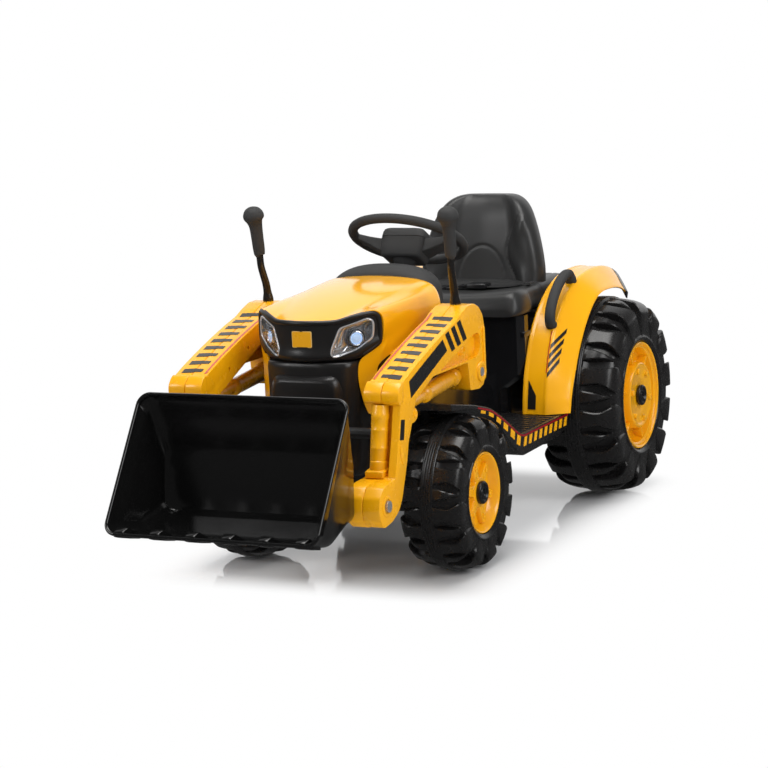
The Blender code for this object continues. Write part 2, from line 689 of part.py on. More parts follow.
def dash_cowl():
    """The arched black cover behind the hood, with the column's hole and the switch's recess."""
    rings = []
    for y, half, top in ((HOOD_REAR + GAP, 0.099, 0.478), (HOOD_REAR + 0.006, 0.102, 0.489),
                         (HOOD_REAR + 0.035, 0.100, DASH_TOP), (DASH_REAR - 0.063, 0.094, DASH_TOP - 0.004),
                         (DASH_REAR - 0.050, 0.088, DASH_TOP - 0.017),
                         (DASH_REAR - 0.018, 0.078, DASH_TOP - 0.026), (DASH_REAR, 0.066, DASH_TOP - 0.043)):
        low = 0.4245
        arch = [(half * cos(pi * k / 8), top - 0.045 + 0.045 * sin(pi * k / 8)) for k in range(9)]
        rings.append([(x, y, z) for x, z in [(half, low)] + arch + [(-half, low)]])
    cowl = put("dash_cowl", loft(rings), black("soft_black", 0.55))
    cut(cowl, rod(shaft_point(-0.01), shaft_point(0.25), SHAFT_R + 0.0015))
    centre = (0.034, DASH_REAR, 0.4365)
    cut(cowl, rod((centre[0], DASH_REAR - 0.008, centre[2]), (centre[0], DASH_REAR + 0.01, centre[2]),
                  0.0100, 12))
    put("power_button", rod((centre[0], DASH_REAR - 0.0048, centre[2]),
                            (centre[0], DASH_REAR + 0.003, centre[2]), 0.0090, 12),
        finish_of("red_button", (0.5, 0.02, 0.02), 0.4), (centre[0], DASH_REAR, centre[2]))


# Seat

SEAT_LOW = SEAT_BOX_TOP + GAP
SEAT_DISH = SEAT_LOW + 0.88 * (SEAT_TOP - SEAT_LOW)
SEAT_CROWN = 0.007
SEAT_REAR_HALF = SEAT_BOX_BETWEEN_TYRES + 0.003
SEAT_FRONT = SEAT_BOX_FRONT - 0.018
SEAT_REAR = BODY_REAR - 0.045


def seat_section(half, top, crown):
    """Half of the pan's cross-section, (x, z) from its lower edge to near the middle of its top."""
    return [(half * 0.97, SEAT_LOW), (half, SEAT_LOW + 0.004),
            (half, SEAT_LOW + 0.4 * (top - SEAT_LOW)), (half * 0.93, top + crown),
            (half * 0.72, top), (half * 0.30, top - crown)]


def seat_base():
    """A moulded seat pan, dished between its side rolls, with a rounded front."""
    rings = []
    for part, height, half, crown in ((0.0, 0.35, 0.90, 0.3), (0.035, 0.72, 0.97, 0.3),
                                      (0.12, 0.97, 1.0, 1.0), (0.35, 0.88, 1.0, 1.0),
                                      (0.48, 0.88, 1.0, 1.0), (0.525, 0.985, 1.0, 0.0), (0.56, 1.0, 1.0, 0.0),
                                      (1.0, 1.0, 0.97, 0.0)):
        y = SEAT_FRONT + (SEAT_REAR - SEAT_FRONT) * part
        wide = (SEAT_HALF if part < 0.3 else SEAT_REAR_HALF) * half
        top = SEAT_LOW + (SEAT_TOP - SEAT_LOW) * height
        section = seat_section(wide, top, crown * SEAT_CROWN)
        rings.append([(x, y, z) for x, z in section + [(-x, z) for x, z in section[::-1]]])
    put("seat_base", loft(rings), black("seat_black", 0.42), smooth=60)


def seat_back():
    """A hollow-looking moulded backrest with raised side bolsters."""
    rings = []
    foot = SEAT_TOP + GAP
    for part, half, lean in ((0.0, 0.127, 0.000), (0.20, 0.125, 0.004), (0.38, 0.119, 0.008),
                             (0.56, 0.110, 0.014), (0.74, 0.099, 0.021), (0.88, 0.086, 0.030),
                             (0.96, 0.072, 0.037), (1.0, 0.058, 0.044)):
        z = foot + (SEAT_BACK_TOP - foot) * part
        y = SEAT_BOX_FRONT + 0.164 + lean
        section = [(0.0, y + 0.006), (0.55, y + 0.003), (0.78, y - 0.014), (0.93, y - 0.013),
                   (1.0, y + 0.006), (0.97, y + 0.038), (0.74, y + 0.056), (0.0, y + 0.062)]
        slim = 0.45 if part == 1.0 else 1.0
        middle = y + 0.020
        ring = [(half * u, middle + (v - middle) * slim, z) for u, v in section]
        rings.append(ring + [(-x, v, w) for x, v, w in ring[-2:0:-1]])
    put("seat_back", loft(rings), black("seat_black", 0.42), smooth=60)


def lap_belt():
    """A webbing strap laid across the cushion, with its buckle."""
    y = SEAT_FRONT + 0.41 * (SEAT_REAR - SEAT_FRONT)
    half = 0.0125
    cushion = [(x, z + GAP) for x, z in seat_section(SEAT_REAR_HALF, SEAT_DISH, SEAT_CROWN)[3:]]
    top = cushion[-1][1]
    (edge_x, edge_z), (side_x, side_z) = cushion[0], cushion[1]
    near = ((edge_x + side_x) / 2, (edge_z + side_z) / 2)
    line = [(-near[0], near[1]), (-side_x, side_z), (-cushion[2][0], top), (-0.004, top),
            (0.018, top + 0.007), (cushion[2][0], top + 0.001), (side_x, side_z), near]
    rings = [[(x, y - half, z), (x, y + half, z), (x, y + half, z + 0.002), (x, y - half, z + 0.002)]
             for x, z in line]
    strap = put("lap_belt", loft(rings), black("webbing", 0.8))
    join(strap, box((0.002, 0.040), (y - 0.017, y + 0.017), (top + 0.003, top + 0.014)))


# Footboards, fenders and handles

def footboard(word, side):
    """A step that rises forward over the front wheel, ribbed across where the feet rest."""
    top = [(-0.070, 0.296), (0.020, 0.280), (0.095, 0.262), (0.150, 0.236), (0.232, BOARD_TOP)]
    end = WHEELBASE - 0.2025
    ribs = 9
    pitch = (end - 0.300) / ribs
    for k in range(ribs):
        at = 0.246 + k * pitch
        top += [(at, BOARD_TOP), (at + 0.16 * pitch, BOARD_TOP + RIB_RISE),
                (at + 0.60 * pitch, BOARD_TOP + RIB_RISE), (at + 0.76 * pitch, BOARD_TOP)]
    under = [(end, BOARD_TOP), (end, 0.166), (end - 0.0465, 0.152), (0.232, 0.150), (0.160, 0.200),
             (0.126, 0.240), (0.072, 0.2645), (-0.070, 0.284)]
    outline = off_axle(top + under, FRONT_AXLE_Y)
    x = sorted((side * BOARD_IN, side * BOARD_OUT))
    board = put(f"footboard_{word}", plate(outline, *x), black("footboard_black", 0.45))
    belly = off_axle([(end - 0.0425, 0.140), (end - 0.0425, 0.176), (0.240, 0.176), (0.160, 0.224),
                      (0.140, 0.234), (0.164, 0.196), (0.230, 0.140)], FRONT_AXLE_Y)
    cut(board, plate(belly, *sorted((side * (BOARD_IN + WALL), side * (BOARD_OUT - WALL)))))
    cut(board, box(sorted((side * (BOARD_IN - 0.01), side * (SEAT_BOX_HALF + GAP))),
                   (SEAT_BOX_FRONT - GAP, SEAT_BOX_FRONT + 0.1), (0.1, 0.3)))


def accelerator_pedal():
    """The foot pedal on the right footboard, hinged at its heel."""
    hinge = (FRONT_AXLE_Y + 0.305, BOARD_TOP + RIB_RISE + 0.003 + GAP)
    outline = [(hinge[0] + 0.004, hinge[1] - 0.003), (hinge[0] + 0.004, hinge[1] + 0.003),
               (hinge[0] - 0.020, hinge[1] + 0.014), (hinge[0] - 0.078, hinge[1] + 0.034),
               (hinge[0] - 0.082, hinge[1] + 0.029), (hinge[0] - 0.020, hinge[1] + 0.008)]
    put("accelerator_pedal", plate(outline, -0.180, -0.125), black("black_trim", 0.3),
        (-0.1525, *hinge))


def fender_lines():
    """The fender's side outlines, (y, z) from the front axle, at its inner part and outer edge."""
    inner = [(0.4155, 0.1915), (0.4205, 0.228), (0.4330, 0.272), (0.4680, 0.338), (0.5240, 0.388),
             (0.5890, 0.4185), (0.6500, 0.4295), (0.7150, 0.4310), (0.7680, 0.4240), (0.8060, 0.4110)]
    outer = [(0.4420, 0.1915), (0.4520, 0.222), (0.4670, 0.252), (0.5000, 0.303), (0.5380, 0.345),
             (0.5800, 0.377), (0.6240, 0.394), (0.6860, 0.3960), (0.7350, 0.3900), (0.7690, 0.3780)]
    shift = WHEELBASE - 0.669
    return [[(y + shift, z) for y, z in line] for line in (inner, outer)]


def inset_line(line, depth):
    """The same line moved towards the wheel's axle by a depth."""
    centre = Vector((WHEELBASE, REAR_AXLE_Z))
    moved = []
    for point in line:
        towards = centre - Vector(point)
        moved.append(Vector(point) + towards.normalized() * depth)
    return moved


def fender_ring(side, x, line, depth):
    under = inset_line(line, depth)
    return [(side * x, FRONT_AXLE_Y + y, z) for y, z in list(line) + [tuple(p) for p in under[::-1]]]


def fender(word, side):
    """A curved mudguard shell over the inner half of the tyre, its outer third turned down."""
    inner, outer = fender_lines()
    rings = [fender_ring(side, FENDER_IN, inner, FENDER_WALL),
             fender_ring(side, FENDER_CREASE, inner, FENDER_WALL),
             fender_ring(side, FENDER_OUT, outer, FENDER_WALL)]
    put(f"fender_{word}", loft(rings), yellow(), smooth=40)
    trim = []
    for x, line in ((FENDER_IN, inner), (FENDER_CREASE, inner), (FENDER_OUT, outer)):
        end, before = Vector(line[-1]), Vector(line[-2])
        along = (end - before).normalized()
        under = inset_line([end], FENDER_WALL + 0.004)[0]
        near, far = 2 * GAP, 0.011
        trim.append([(side * x, FRONT_AXLE_Y + p.x, p.y) for p in
                     (end + along * near, end + along * far, under + along * far, under + along * near)])
    put(f"tail_trim_{word}", loft(trim), black("black_trim", 0.3))


def grab_handle(word, side):
    """A loop handle that stands on the fender's front slope."""
    inner, _ = fender_lines()

    def on_slope(y):
        for (y0, z0), (y1, z1) in zip(inner, inner[1:]):
            if y0 <= y <= y1:
                return z0 + (z1 - z0) * (y - y0) / (y1 - y0), atan2(z1 - z0, y1 - y0)
        return inner[-1][1], 0.0

    low_y, high_y = WHEELBASE - 0.191, WHEELBASE - 0.083
    path = []
    for y, lift in ((low_y, 0.0027), (low_y - 0.001, 0.013), (low_y + 0.010, 0.026)):
        z, tilt = on_slope(y)
        path.append((y - lift * sin(tilt), z + lift * cos(tilt)))
    for y, lift in ((WHEELBASE - 0.140, 0.031), (high_y - 0.012, 0.027), (high_y, 0.014),
                    (high_y, 0.0027)):
        z, tilt = on_slope(y)
        path.append((y - lift * sin(tilt), z + lift * cos(tilt)))
    points = [(side * HANDLE_X, FRONT_AXLE_Y + y, z) for y, z in path]
    put(f"grab_handle_{word}", tube(smooth_path(points, 2), HANDLE_R, 6, 1.15),
        black("soft_black", 0.55))


# Loader

ARM_TOP = [(-0.252, 0.3262), (-0.252, 0.343), (-0.240, 0.356), (-0.205, 0.370), (-0.165, 0.384),
           (-0.105, 0.403), (-0.050, 0.4185), (-0.012, 0.4275), (0.014, 0.438), (0.040, 0.4460),
           (0.068, 0.4465), (0.088, 0.438), (0.103, 0.423), (0.109, 0.404)]
ARM_MAST = [(0.1095, 0.327), (0.099, 0.303), (0.080, 0.2975), (0.040, 0.3010)]
NOTCH = [(0.032, 0.345), (0.012, 0.384), (-0.020, 0.388)]
WEB_LOW = [(0.033, 0.350), (-0.112, 0.350)]
ARM_UNDER = [(-0.186, 0.322), (-0.196, 0.300)]
LEG_INNER = [(-0.220, 0.205), (-0.234, 0.146), (-0.252, 0.1300), (-0.318, 0.1385), (-0.336, 0.152),
             (-0.341, 0.170), (-0.337, 0.190), (-0.322, 0.2045), (-0.300, 0.2085), (-0.248, 0.2095),
             (-0.2365, 0.270), (-0.2285, 0.3255)]
LEG_OUTER = [(-0.2187, 0.262), (-0.2277, 0.231), (-0.2404, 0.201), (-0.2535, 0.172), (-0.268, 0.1555),
             (-0.292, 0.1445), (-0.323, 0.1400), (-0.336, 0.152), (-0.341, 0.170), (-0.337, 0.190),
             (-0.322, 0.2045), (-0.300, 0.2085), (-0.276, 0.2095), (-0.257, 0.270), (-0.2445, 0.3255)]
WEB = [(-0.090, 0.3535), (-0.050, 0.3695), (0.000, 0.3835), (0.030, 0.393), (0.062, 0.400), (0.085, 0.398),
       (0.090, 0.372), (0.074, 0.354), (0.034, 0.3535)]
WEB_RECESS = 0.010
KNEE_LUG = [(-0.213, 0.318), (-0.186, 0.311), (-0.178, 0.302), (-0.181, 0.292), (-0.194, 0.287), (-0.212, 0.288)]


def loader_arms():
    """Each arm is two moulded halves that meet at a seam along its middle."""
    outlines = {"inner": ARM_TOP + ARM_MAST + NOTCH + ARM_UNDER + LEG_INNER,
                "outer": ARM_TOP + ARM_MAST + WEB_LOW + ARM_UNDER + LEG_OUTER}
    seam = GAP / 2
    for word, side in SIDES:
        halves = (("inner", ARM_IN, ARM_MID - seam), ("outer", ARM_MID + seam, ARM_OUT))
        for part, near, far in halves:
            x = sorted((side * near, side * far))
            arm = put(f"arm_{part}_{word}", plate(off_axle(outlines[part], FRONT_AXLE_Y), *x), yellow(),
                      (0, LIFT_Y, LIFT_Z), bevel=0.003 if part == "outer" else 0.0, sharper=62)
            if part == "outer":
                join(arm, plate(off_axle(KNEE_LUG, FRONT_AXLE_Y),
                                *sorted((side * (ARM_OUT - 0.016), side * (ARM_OUT - 0.0005)))))
                cut(arm, plate(off_axle(WEB, FRONT_AXLE_Y),
                               *sorted((side * (ARM_OUT - WEB_RECESS), side * (ARM_OUT + 0.01)))))
                boss = Vector((side * (ARM_OUT - WEB_RECESS - 0.001), FRONT_AXLE_Y + 0.024, 0.374))
                join(arm, turned(boss, Vector((side, 0, 0)), [(0, 0.0105), (0.008, 0.0060)], 12))
                join(arm, rod((side * (ARM_OUT - 0.006), LIFT_Y, LIFT_Z),
                              (side * (ARM_OUT + 0.004), LIFT_Y, LIFT_Z), 0.0175, 16))
            cut(arm, rod((side * 0.12, LIFT_Y, LIFT_Z), (side * 0.25, LIFT_Y, LIFT_Z),
                         LIFT_ROD_R + BORE_CLEARANCE))
            cut(arm, rod((side * 0.12, BUCKET_Y, BUCKET_Z), (side * 0.25, BUCKET_Y, BUCKET_Z),
                         BUCKET_ROD_R + BORE_CLEARANCE))
        lift_ram(word, side)
        tilt_ram(word, side)
        lever(word, side)


def lift_ram(word, side):
    """The mock cylinder under the beam, from the mast's foot to behind the knee."""
    start = Vector((side * ARM_MID, FRONT_AXLE_Y + 0.0338 - GAP, 0.3255))
    end = Vector((side * ARM_MID, FRONT_AXLE_Y - 0.1869 + GAP, 0.3075))
    length = (end - start).length
    profile = [(0, 0.0165), (0.014, 0.0165), (0.016, 0.0145), (length * 0.55, 0.0145),
               (length * 0.55 + 0.002, 0.0105), (length, 0.0105)]
    put(f"lift_ram_{word}", turned(start, end - start, profile, 8), yellow(),
        (0, LIFT_Y, LIFT_Z))


def tilt_ram(word, side):
    """The mock cylinder down the front of the leg."""
    x = side * (ARM_IN + 0.0145)
    start = Vector((x, FRONT_AXLE_Y - 0.2422, 0.3255 - 0.0024))
    end = Vector((x, FRONT_AXLE_Y - 0.2612, 0.2095 + 0.0034))
    length = (end - start).length
    profile = [(0, 0.0125), (0.016, 0.0125), (0.018, 0.0105), (length * 0.8, 0.0105),
               (length * 0.8 + 0.002, 0.0125), (length, 0.0125)]
    put(f"tilt_ram_{word}", turned(start, end - start, profile, 8), yellow(),
        (0, LIFT_Y, LIFT_Z))


def lever(word, side):
    """A bent hand lever with a rubber grip and a mushroom knob."""
    x = side * ARM_MID
    line = [(x, 0.058, 0.4463 + GAP), (x, 0.0575, 0.455), (x, 0.052, 0.478), (x + side * 0.002, 0.040, 0.510),
            (x + side * 0.003, 0.039, 0.540), (x + side * 0.004, 0.033, 0.580),
            (x + side * 0.005, 0.028, 0.603), (x + side * 0.005, 0.027, 0.612),
            (x + side * 0.005, 0.0265, 0.6165)]
    radii = [0.0090, 0.0088, 0.0070, 0.0065, 0.0105, 0.0120, 0.0165, 0.0150, 0.0080]
    points = [(px, FRONT_AXLE_Y + py, pz) for px, py, pz in line]
    points.insert(4, tuple(Vector(points[3]).lerp(Vector(points[4]), 0.55)))
    radii.insert(4, 0.0062)
    put(f"lever_{word}", tube(points, radii, 8), black("soft_black", 0.55), (0, LIFT_Y, LIFT_Z))


def cross_tube():
    y, z = FRONT_AXLE_Y - 0.222, 0.272
    reach = ARM_IN - GAP
    put("cross_tube", rod((-reach, y, z), (reach, y, z), 0.009, 12), black("black_frame", 0.45),
        (0, LIFT_Y, LIFT_Z))


def pivot_rod():
    reach = ARM_OUT + 0.003
    put("pivot_rod", rod((-reach, LIFT_Y, LIFT_Z), (reach, LIFT_Y, LIFT_Z), LIFT_ROD_R, 12),
        steel(), (0, LIFT_Y, LIFT_Z))


def bucket_rod():
    reach = ARM_OUT + 0.001
    bar = put("bucket_rod", rod((-reach, BUCKET_Y, BUCKET_Z), (reach, BUCKET_Y, BUCKET_Z),
                                BUCKET_ROD_R, 12), steel(), (0, BUCKET_Y, BUCKET_Z))
    for _, side in SIDES:
        join(bar, rod((side * (ARM_OUT + GAP), BUCKET_Y, BUCKET_Z),
                      (side * (ARM_OUT + 0.0045), BUCKET_Y, BUCKET_Z), 0.0095, 12))


def bucket_ring(top, bottom, half, inset, corner=0.022):
    """A rounded rectangle between two (y, z) points and the bucket's sides."""
    top, bottom = Vector(top), Vector(bottom)
    down = (bottom - top).normalized()
    top, bottom, half = top + down * inset, bottom - down * inset, half - inset
    height = (bottom - top).length
    ring = []
    for cx, cv, start in ((half - corner, corner, 0), (-half + corner, corner, 90),
                          (-half + corner, height - corner, 180), (half - corner, height - corner, 270)):
        for k in range(3):
            a = radians(start + 45 * k)
            v = cv - corner * sin(a)
            point = top + down * v
            ring.append((cx + corner * cos(a), point.x, point.y))
    return ring


def bucket():
    """A one-piece scoop with walls that draw in towards its back, a rolled rim and wedge teeth."""
    def at(pairs):
        return [tuple(point) for point in off_axle(pairs, FRONT_AXLE_Y)]

    mouth, lip, middle, back = (at([(-0.385, 0.359), (-0.525, 0.1530)]),
                                at([(-0.3805, 0.357), (-0.517, 0.1485)]),
                                at([(-0.3670, 0.322), (-0.446, 0.1340)]),
                                at([(-0.3470, 0.264), (-0.353, 0.1540)]))
    deep = at([(-0.3535, 0.264), (-0.3595, 0.1540)])
    scoop = put("bucket", loft([
        bucket_ring(*back, BUCKET_HALF - 0.018, 0), bucket_ring(*middle, BUCKET_HALF - 0.009, 0),
        bucket_ring(*lip, BUCKET_HALF - 0.003, 0), bucket_ring(*mouth, BUCKET_HALF, 0),
        bucket_ring(*mouth, BUCKET_HALF, BUCKET_WALL), bucket_ring(*middle, BUCKET_HALF - 0.009, BUCKET_WALL),
        bucket_ring(*deep, BUCKET_HALF - 0.018, BUCKET_WALL)]), black("bucket_black", 0.15),
        (0, BUCKET_Y, BUCKET_Z))
    lug = [(BUCKET_Y + 0.015 * cos(a), BUCKET_Z + 0.015 * sin(a))
           for a in (radians(-90 + 30 * k) for k in range(7))]
    lug += [(BUCKET_Y - 0.0400, BUCKET_Z + 0.026), (BUCKET_Y - 0.0435, BUCKET_Z - 0.016)]
    for _, side in SIDES:
        x = sorted((side * (ARM_IN - 0.001), side * (ARM_IN - 0.001 - LUG_T)))
        join(scoop, plate(lug, *x))
        cut(scoop, rod((x[0] - 0.01, BUCKET_Y, BUCKET_Z), (x[1] + 0.01, BUCKET_Y, BUCKET_Z),
                       BUCKET_ROD_R + BORE_CLEARANCE))
    spread = BUCKET_HALF - 0.030
    for k in range(BUCKET_TEETH):
        x = -spread + 2 * spread * k / (BUCKET_TEETH - 1)
        y = FRONT_AXLE_Y - 0.525
        tooth = [[(x - 0.012, y + 0.052, 0.1370), (x + 0.012, y + 0.052, 0.1370),
                  (x + 0.012, y + 0.052, 0.1435), (x - 0.012, y + 0.052, 0.1435)],
                 [(x - 0.012, y + 0.016, 0.1450), (x + 0.012, y + 0.016, 0.1450),
                  (x + 0.009, y + 0.014, 0.1630), (x - 0.009, y + 0.014, 0.1630)],
                 [(x - 0.010, y + 0.004, 0.1500), (x + 0.010, y + 0.004, 0.1500),
                  (x + 0.007, y + 0.002, 0.1560), (x - 0.007, y + 0.002, 0.1560)]]
        join(scoop, loft(tooth))


def build():
    clear_scene()
    body_tub()
    battery()
    hood()
    grille_panel()
    nose_cowl()
    dash_cowl()
    seat_base()
    seat_back()
    lap_belt()
    rear_axle()
    front_axle_beam()
    steering_shaft()
    tie_rod()
    steering_wheel()
    accelerator_pedal()
    for word, side in SIDES:
        headlamp(word, side)
        gearbox(word, side)
        knuckle(word, side)
        footboard(word, side)
        fender(word, side)
        grab_handle(word, side)
    wheels()
    loader_arms()
    cross_tube()
    pivot_rod()
    bucket_rod()
    bucket()


build()
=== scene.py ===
"""Kids ride-on tractor with a front loader: finishes and fine shapes around the working model."""
import math
import json

import bmesh
import bpy
from mathutils import Matrix, Vector

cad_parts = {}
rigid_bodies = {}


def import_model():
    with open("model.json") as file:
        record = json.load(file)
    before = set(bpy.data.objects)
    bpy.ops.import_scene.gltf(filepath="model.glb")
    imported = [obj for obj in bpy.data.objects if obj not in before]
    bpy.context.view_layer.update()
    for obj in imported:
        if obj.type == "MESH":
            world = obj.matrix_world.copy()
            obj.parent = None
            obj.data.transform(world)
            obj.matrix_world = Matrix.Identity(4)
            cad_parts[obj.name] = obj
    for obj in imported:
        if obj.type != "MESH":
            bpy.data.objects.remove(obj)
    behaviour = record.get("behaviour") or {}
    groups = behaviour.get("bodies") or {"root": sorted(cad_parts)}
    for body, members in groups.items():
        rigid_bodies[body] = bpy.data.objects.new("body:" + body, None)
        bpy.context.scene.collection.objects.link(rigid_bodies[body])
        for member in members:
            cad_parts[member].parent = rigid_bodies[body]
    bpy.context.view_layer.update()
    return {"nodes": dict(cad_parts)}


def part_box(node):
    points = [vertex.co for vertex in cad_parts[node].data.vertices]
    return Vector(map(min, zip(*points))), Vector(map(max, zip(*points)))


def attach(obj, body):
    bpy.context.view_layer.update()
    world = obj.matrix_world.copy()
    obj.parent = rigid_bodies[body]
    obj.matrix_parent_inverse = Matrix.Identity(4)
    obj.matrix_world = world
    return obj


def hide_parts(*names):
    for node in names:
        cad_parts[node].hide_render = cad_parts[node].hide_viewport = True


for item in list(bpy.data.objects):
    bpy.data.objects.remove(item, do_unlink=True)
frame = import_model()
scene = bpy.context.scene
SIDES = (("left", 1), ("right", -1))


# Studio: the photograph's viewpoint, a pale glossy floor that fades to white, a large soft
# light overhead, one from the front right and a wide one from the left.
def placed(name, data):
    """A new object in the scene."""
    made = bpy.data.objects.new(name, data)
    scene.collection.objects.link(made)
    return made


def node(tree, kind, inputs=(), **settings):
    """A new node with its settings. Its inputs are values or other nodes' outputs."""
    made = tree.nodes.new(kind)
    for name, value in settings.items():
        setattr(made, name, value)
    for place, value in dict(inputs).items():
        if isinstance(value, bpy.types.NodeSocket):
            tree.links.new(value, made.inputs[place])
        else:
            made.inputs[place].default_value = value
    return made


def maths(tree, operation, *values, kind="ShaderNodeMath", out=0):
    """An output of a maths node, whose inputs are values or other nodes' outputs."""
    return node(tree, kind, dict(enumerate(values)), operation=operation).outputs[out]


def shaded(name, inputs):
    """A new material with values on its shader's own inputs."""
    look = bpy.data.materials.new(name)
    look.use_nodes = True
    for label, value in inputs.items():
        look.node_tree.nodes["Principled BSDF"].inputs[label].default_value = value
    return look


CAMERA_AT = Vector((1.8630, -3.9577, 0.9947))
CAMERA_YAW = 0.442429
CAMERA_PITCH = 0.160706
CAMERA_ROLL = -0.043390
FOCAL_PIXELS = 2483.63
IMAGE_PIXELS = 768
FILM_WIDTH = 36.0

scene.view_settings.view_transform = "Standard"
camera = placed("camera", bpy.data.cameras.new("camera"))
scene.camera = camera
forward = Vector((-math.sin(CAMERA_YAW) * math.cos(CAMERA_PITCH),
                  math.cos(CAMERA_YAW) * math.cos(CAMERA_PITCH), -math.sin(CAMERA_PITCH)))
level = Vector((math.cos(CAMERA_YAW), math.sin(CAMERA_YAW), 0.0))
upright = level.cross(forward)
right = level * math.cos(CAMERA_ROLL) + upright * math.sin(CAMERA_ROLL)
upwards = upright * math.cos(CAMERA_ROLL) - level * math.sin(CAMERA_ROLL)
turn = Matrix((right, upwards, -forward)).transposed()
camera.matrix_world = Matrix.Translation(CAMERA_AT) @ turn.to_4x4()
camera.data.sensor_width = FILM_WIDTH
camera.data.lens = FILM_WIDTH * FOCAL_PIXELS / IMAGE_PIXELS
camera.data.clip_end = 100.0

BACKDROP = Vector((-0.42, 0.89, 0.10)).normalized()
BACKDROP_EDGE = (0.45, 0.86)
ROOM_DARK = 0.09
ROOM_FILL = 0.58
world = bpy.data.worlds.new("studio")
scene.world = world
world.use_nodes = True
sky = world.node_tree
sky.nodes.clear()
direction = node(sky, "ShaderNodeTexCoord").outputs["Generated"]
towards = maths(sky, "DOT_PRODUCT", direction, BACKDROP, kind="ShaderNodeVectorMath", out="Value")
lit_side = node(sky, "ShaderNodeMapRange", {"Value": towards, "From Min": BACKDROP_EDGE[0],
                                            "From Max": BACKDROP_EDGE[1], "To Min": ROOM_DARK,
                                            "To Max": 1.0}, interpolation_type="SMOOTHSTEP")
ray = node(sky, "ShaderNodeLightPath").outputs
seen = maths(sky, "MAXIMUM", ray["Is Camera Ray"], ray["Is Glossy Ray"])
seen = maths(sky, "MAXIMUM", seen, ray["Is Transmission Ray"])
brightest = maths(sky, "MAXIMUM", lit_side.outputs["Result"], ray["Is Camera Ray"])
sky_white = node(sky, "ShaderNodeBackground", {"Color": (1, 1, 1, 1), "Strength": brightest})
sky_fill = node(sky, "ShaderNodeBackground", {"Color": (0.97, 0.98, 1.0, 1), "Strength": ROOM_FILL})
sky_mix = node(sky, "ShaderNodeMixShader", {0: seen, 1: sky_fill.outputs[0], 2: sky_white.outputs[0]})
node(sky, "ShaderNodeOutputWorld", {"Surface": sky_mix.outputs[0]})

LAMPS = (("overhead", (0.1, -0.2, 2.5), 1.5, 38.0, (1, 0.99, 0.97)),
         ("front_right", (-2.2, -2.6, 2.2), 1.0, 26.0, (1, 1, 1)),
         ("side", (3.0, -1.0, 2.3), 1.8, 46.0, (1, 1, 1)))
LAMPS_AIM = Vector((0, 0, 0.3))
for name, at, size, power, colour in LAMPS:
    lamp = placed(name, bpy.data.lights.new(name, "AREA"))
    lamp.data.size = size
    lamp.data.energy = power
    lamp.data.color = colour
    lamp.location = at
    lamp.rotation_euler = (LAMPS_AIM - Vector(at)).to_track_quat("-Z", "Y").to_euler()

FLOOR_HALF = 12.0
FLOOR_DROP = 0.0004
FLOOR_FADE = (0.00, 0.13)
FOOTPRINT_AT = (0.0, 0.14, 0)
FOOTPRINT_HALF = (0.22, 0.43, 1)
floor_mesh = bpy.data.meshes.new("studio_floor")
floor_mesh.from_pydata([(x * FLOOR_HALF, y * FLOOR_HALF, -FLOOR_DROP)
                        for x, y in ((-1, -1), (1, -1), (1, 1), (-1, 1))], [], [(0, 1, 2, 3)])
floor = placed("studio_floor", floor_mesh)
floor_look = shaded("studio_floor", {"Base Color": (0.95, 0.95, 0.955, 1), "Roughness": 0.06, "IOR": 1.62})
ground = floor_look.node_tree
reach = node(ground, "ShaderNodeTexCoord").outputs["Object"]
for operation, *by in (("SUBTRACT", FOOTPRINT_AT), ("ABSOLUTE",), ("SUBTRACT", FOOTPRINT_HALF),
                       ("MAXIMUM", (0, 0, 0))):
    reach = maths(ground, operation, reach, *by, kind="ShaderNodeVectorMath")
reach = maths(ground, "LENGTH", reach, kind="ShaderNodeVectorMath", out="Value")
fade = node(ground, "ShaderNodeMapRange", {"Value": reach, "From Min": FLOOR_FADE[0],
                                           "From Max": FLOOR_FADE[1]}, interpolation_type="SMOOTHSTEP")
ray = node(ground, "ShaderNodeLightPath").outputs
direct = maths(ground, "MULTIPLY", fade.outputs["Result"], ray["Is Camera Ray"])
covered = maths(ground, "MAXIMUM", direct, ray["Is Glossy Ray"])
glow = node(ground, "ShaderNodeMapRange", {"Value": ray["Is Camera Ray"], "To Min": ROOM_DARK,
                                           "To Max": 1.0})
white = node(ground, "ShaderNodeEmission", {"Strength": glow.outputs["Result"]})
blend = node(ground, "ShaderNodeMixShader", {0: covered, 1: ground.nodes["Principled BSDF"].outputs[0],
                                             2: white.outputs[0]})
ground.links.new(blend.outputs[0], ground.nodes["Material Output"].inputs["Surface"])
floor_mesh.materials.append(floor_look)


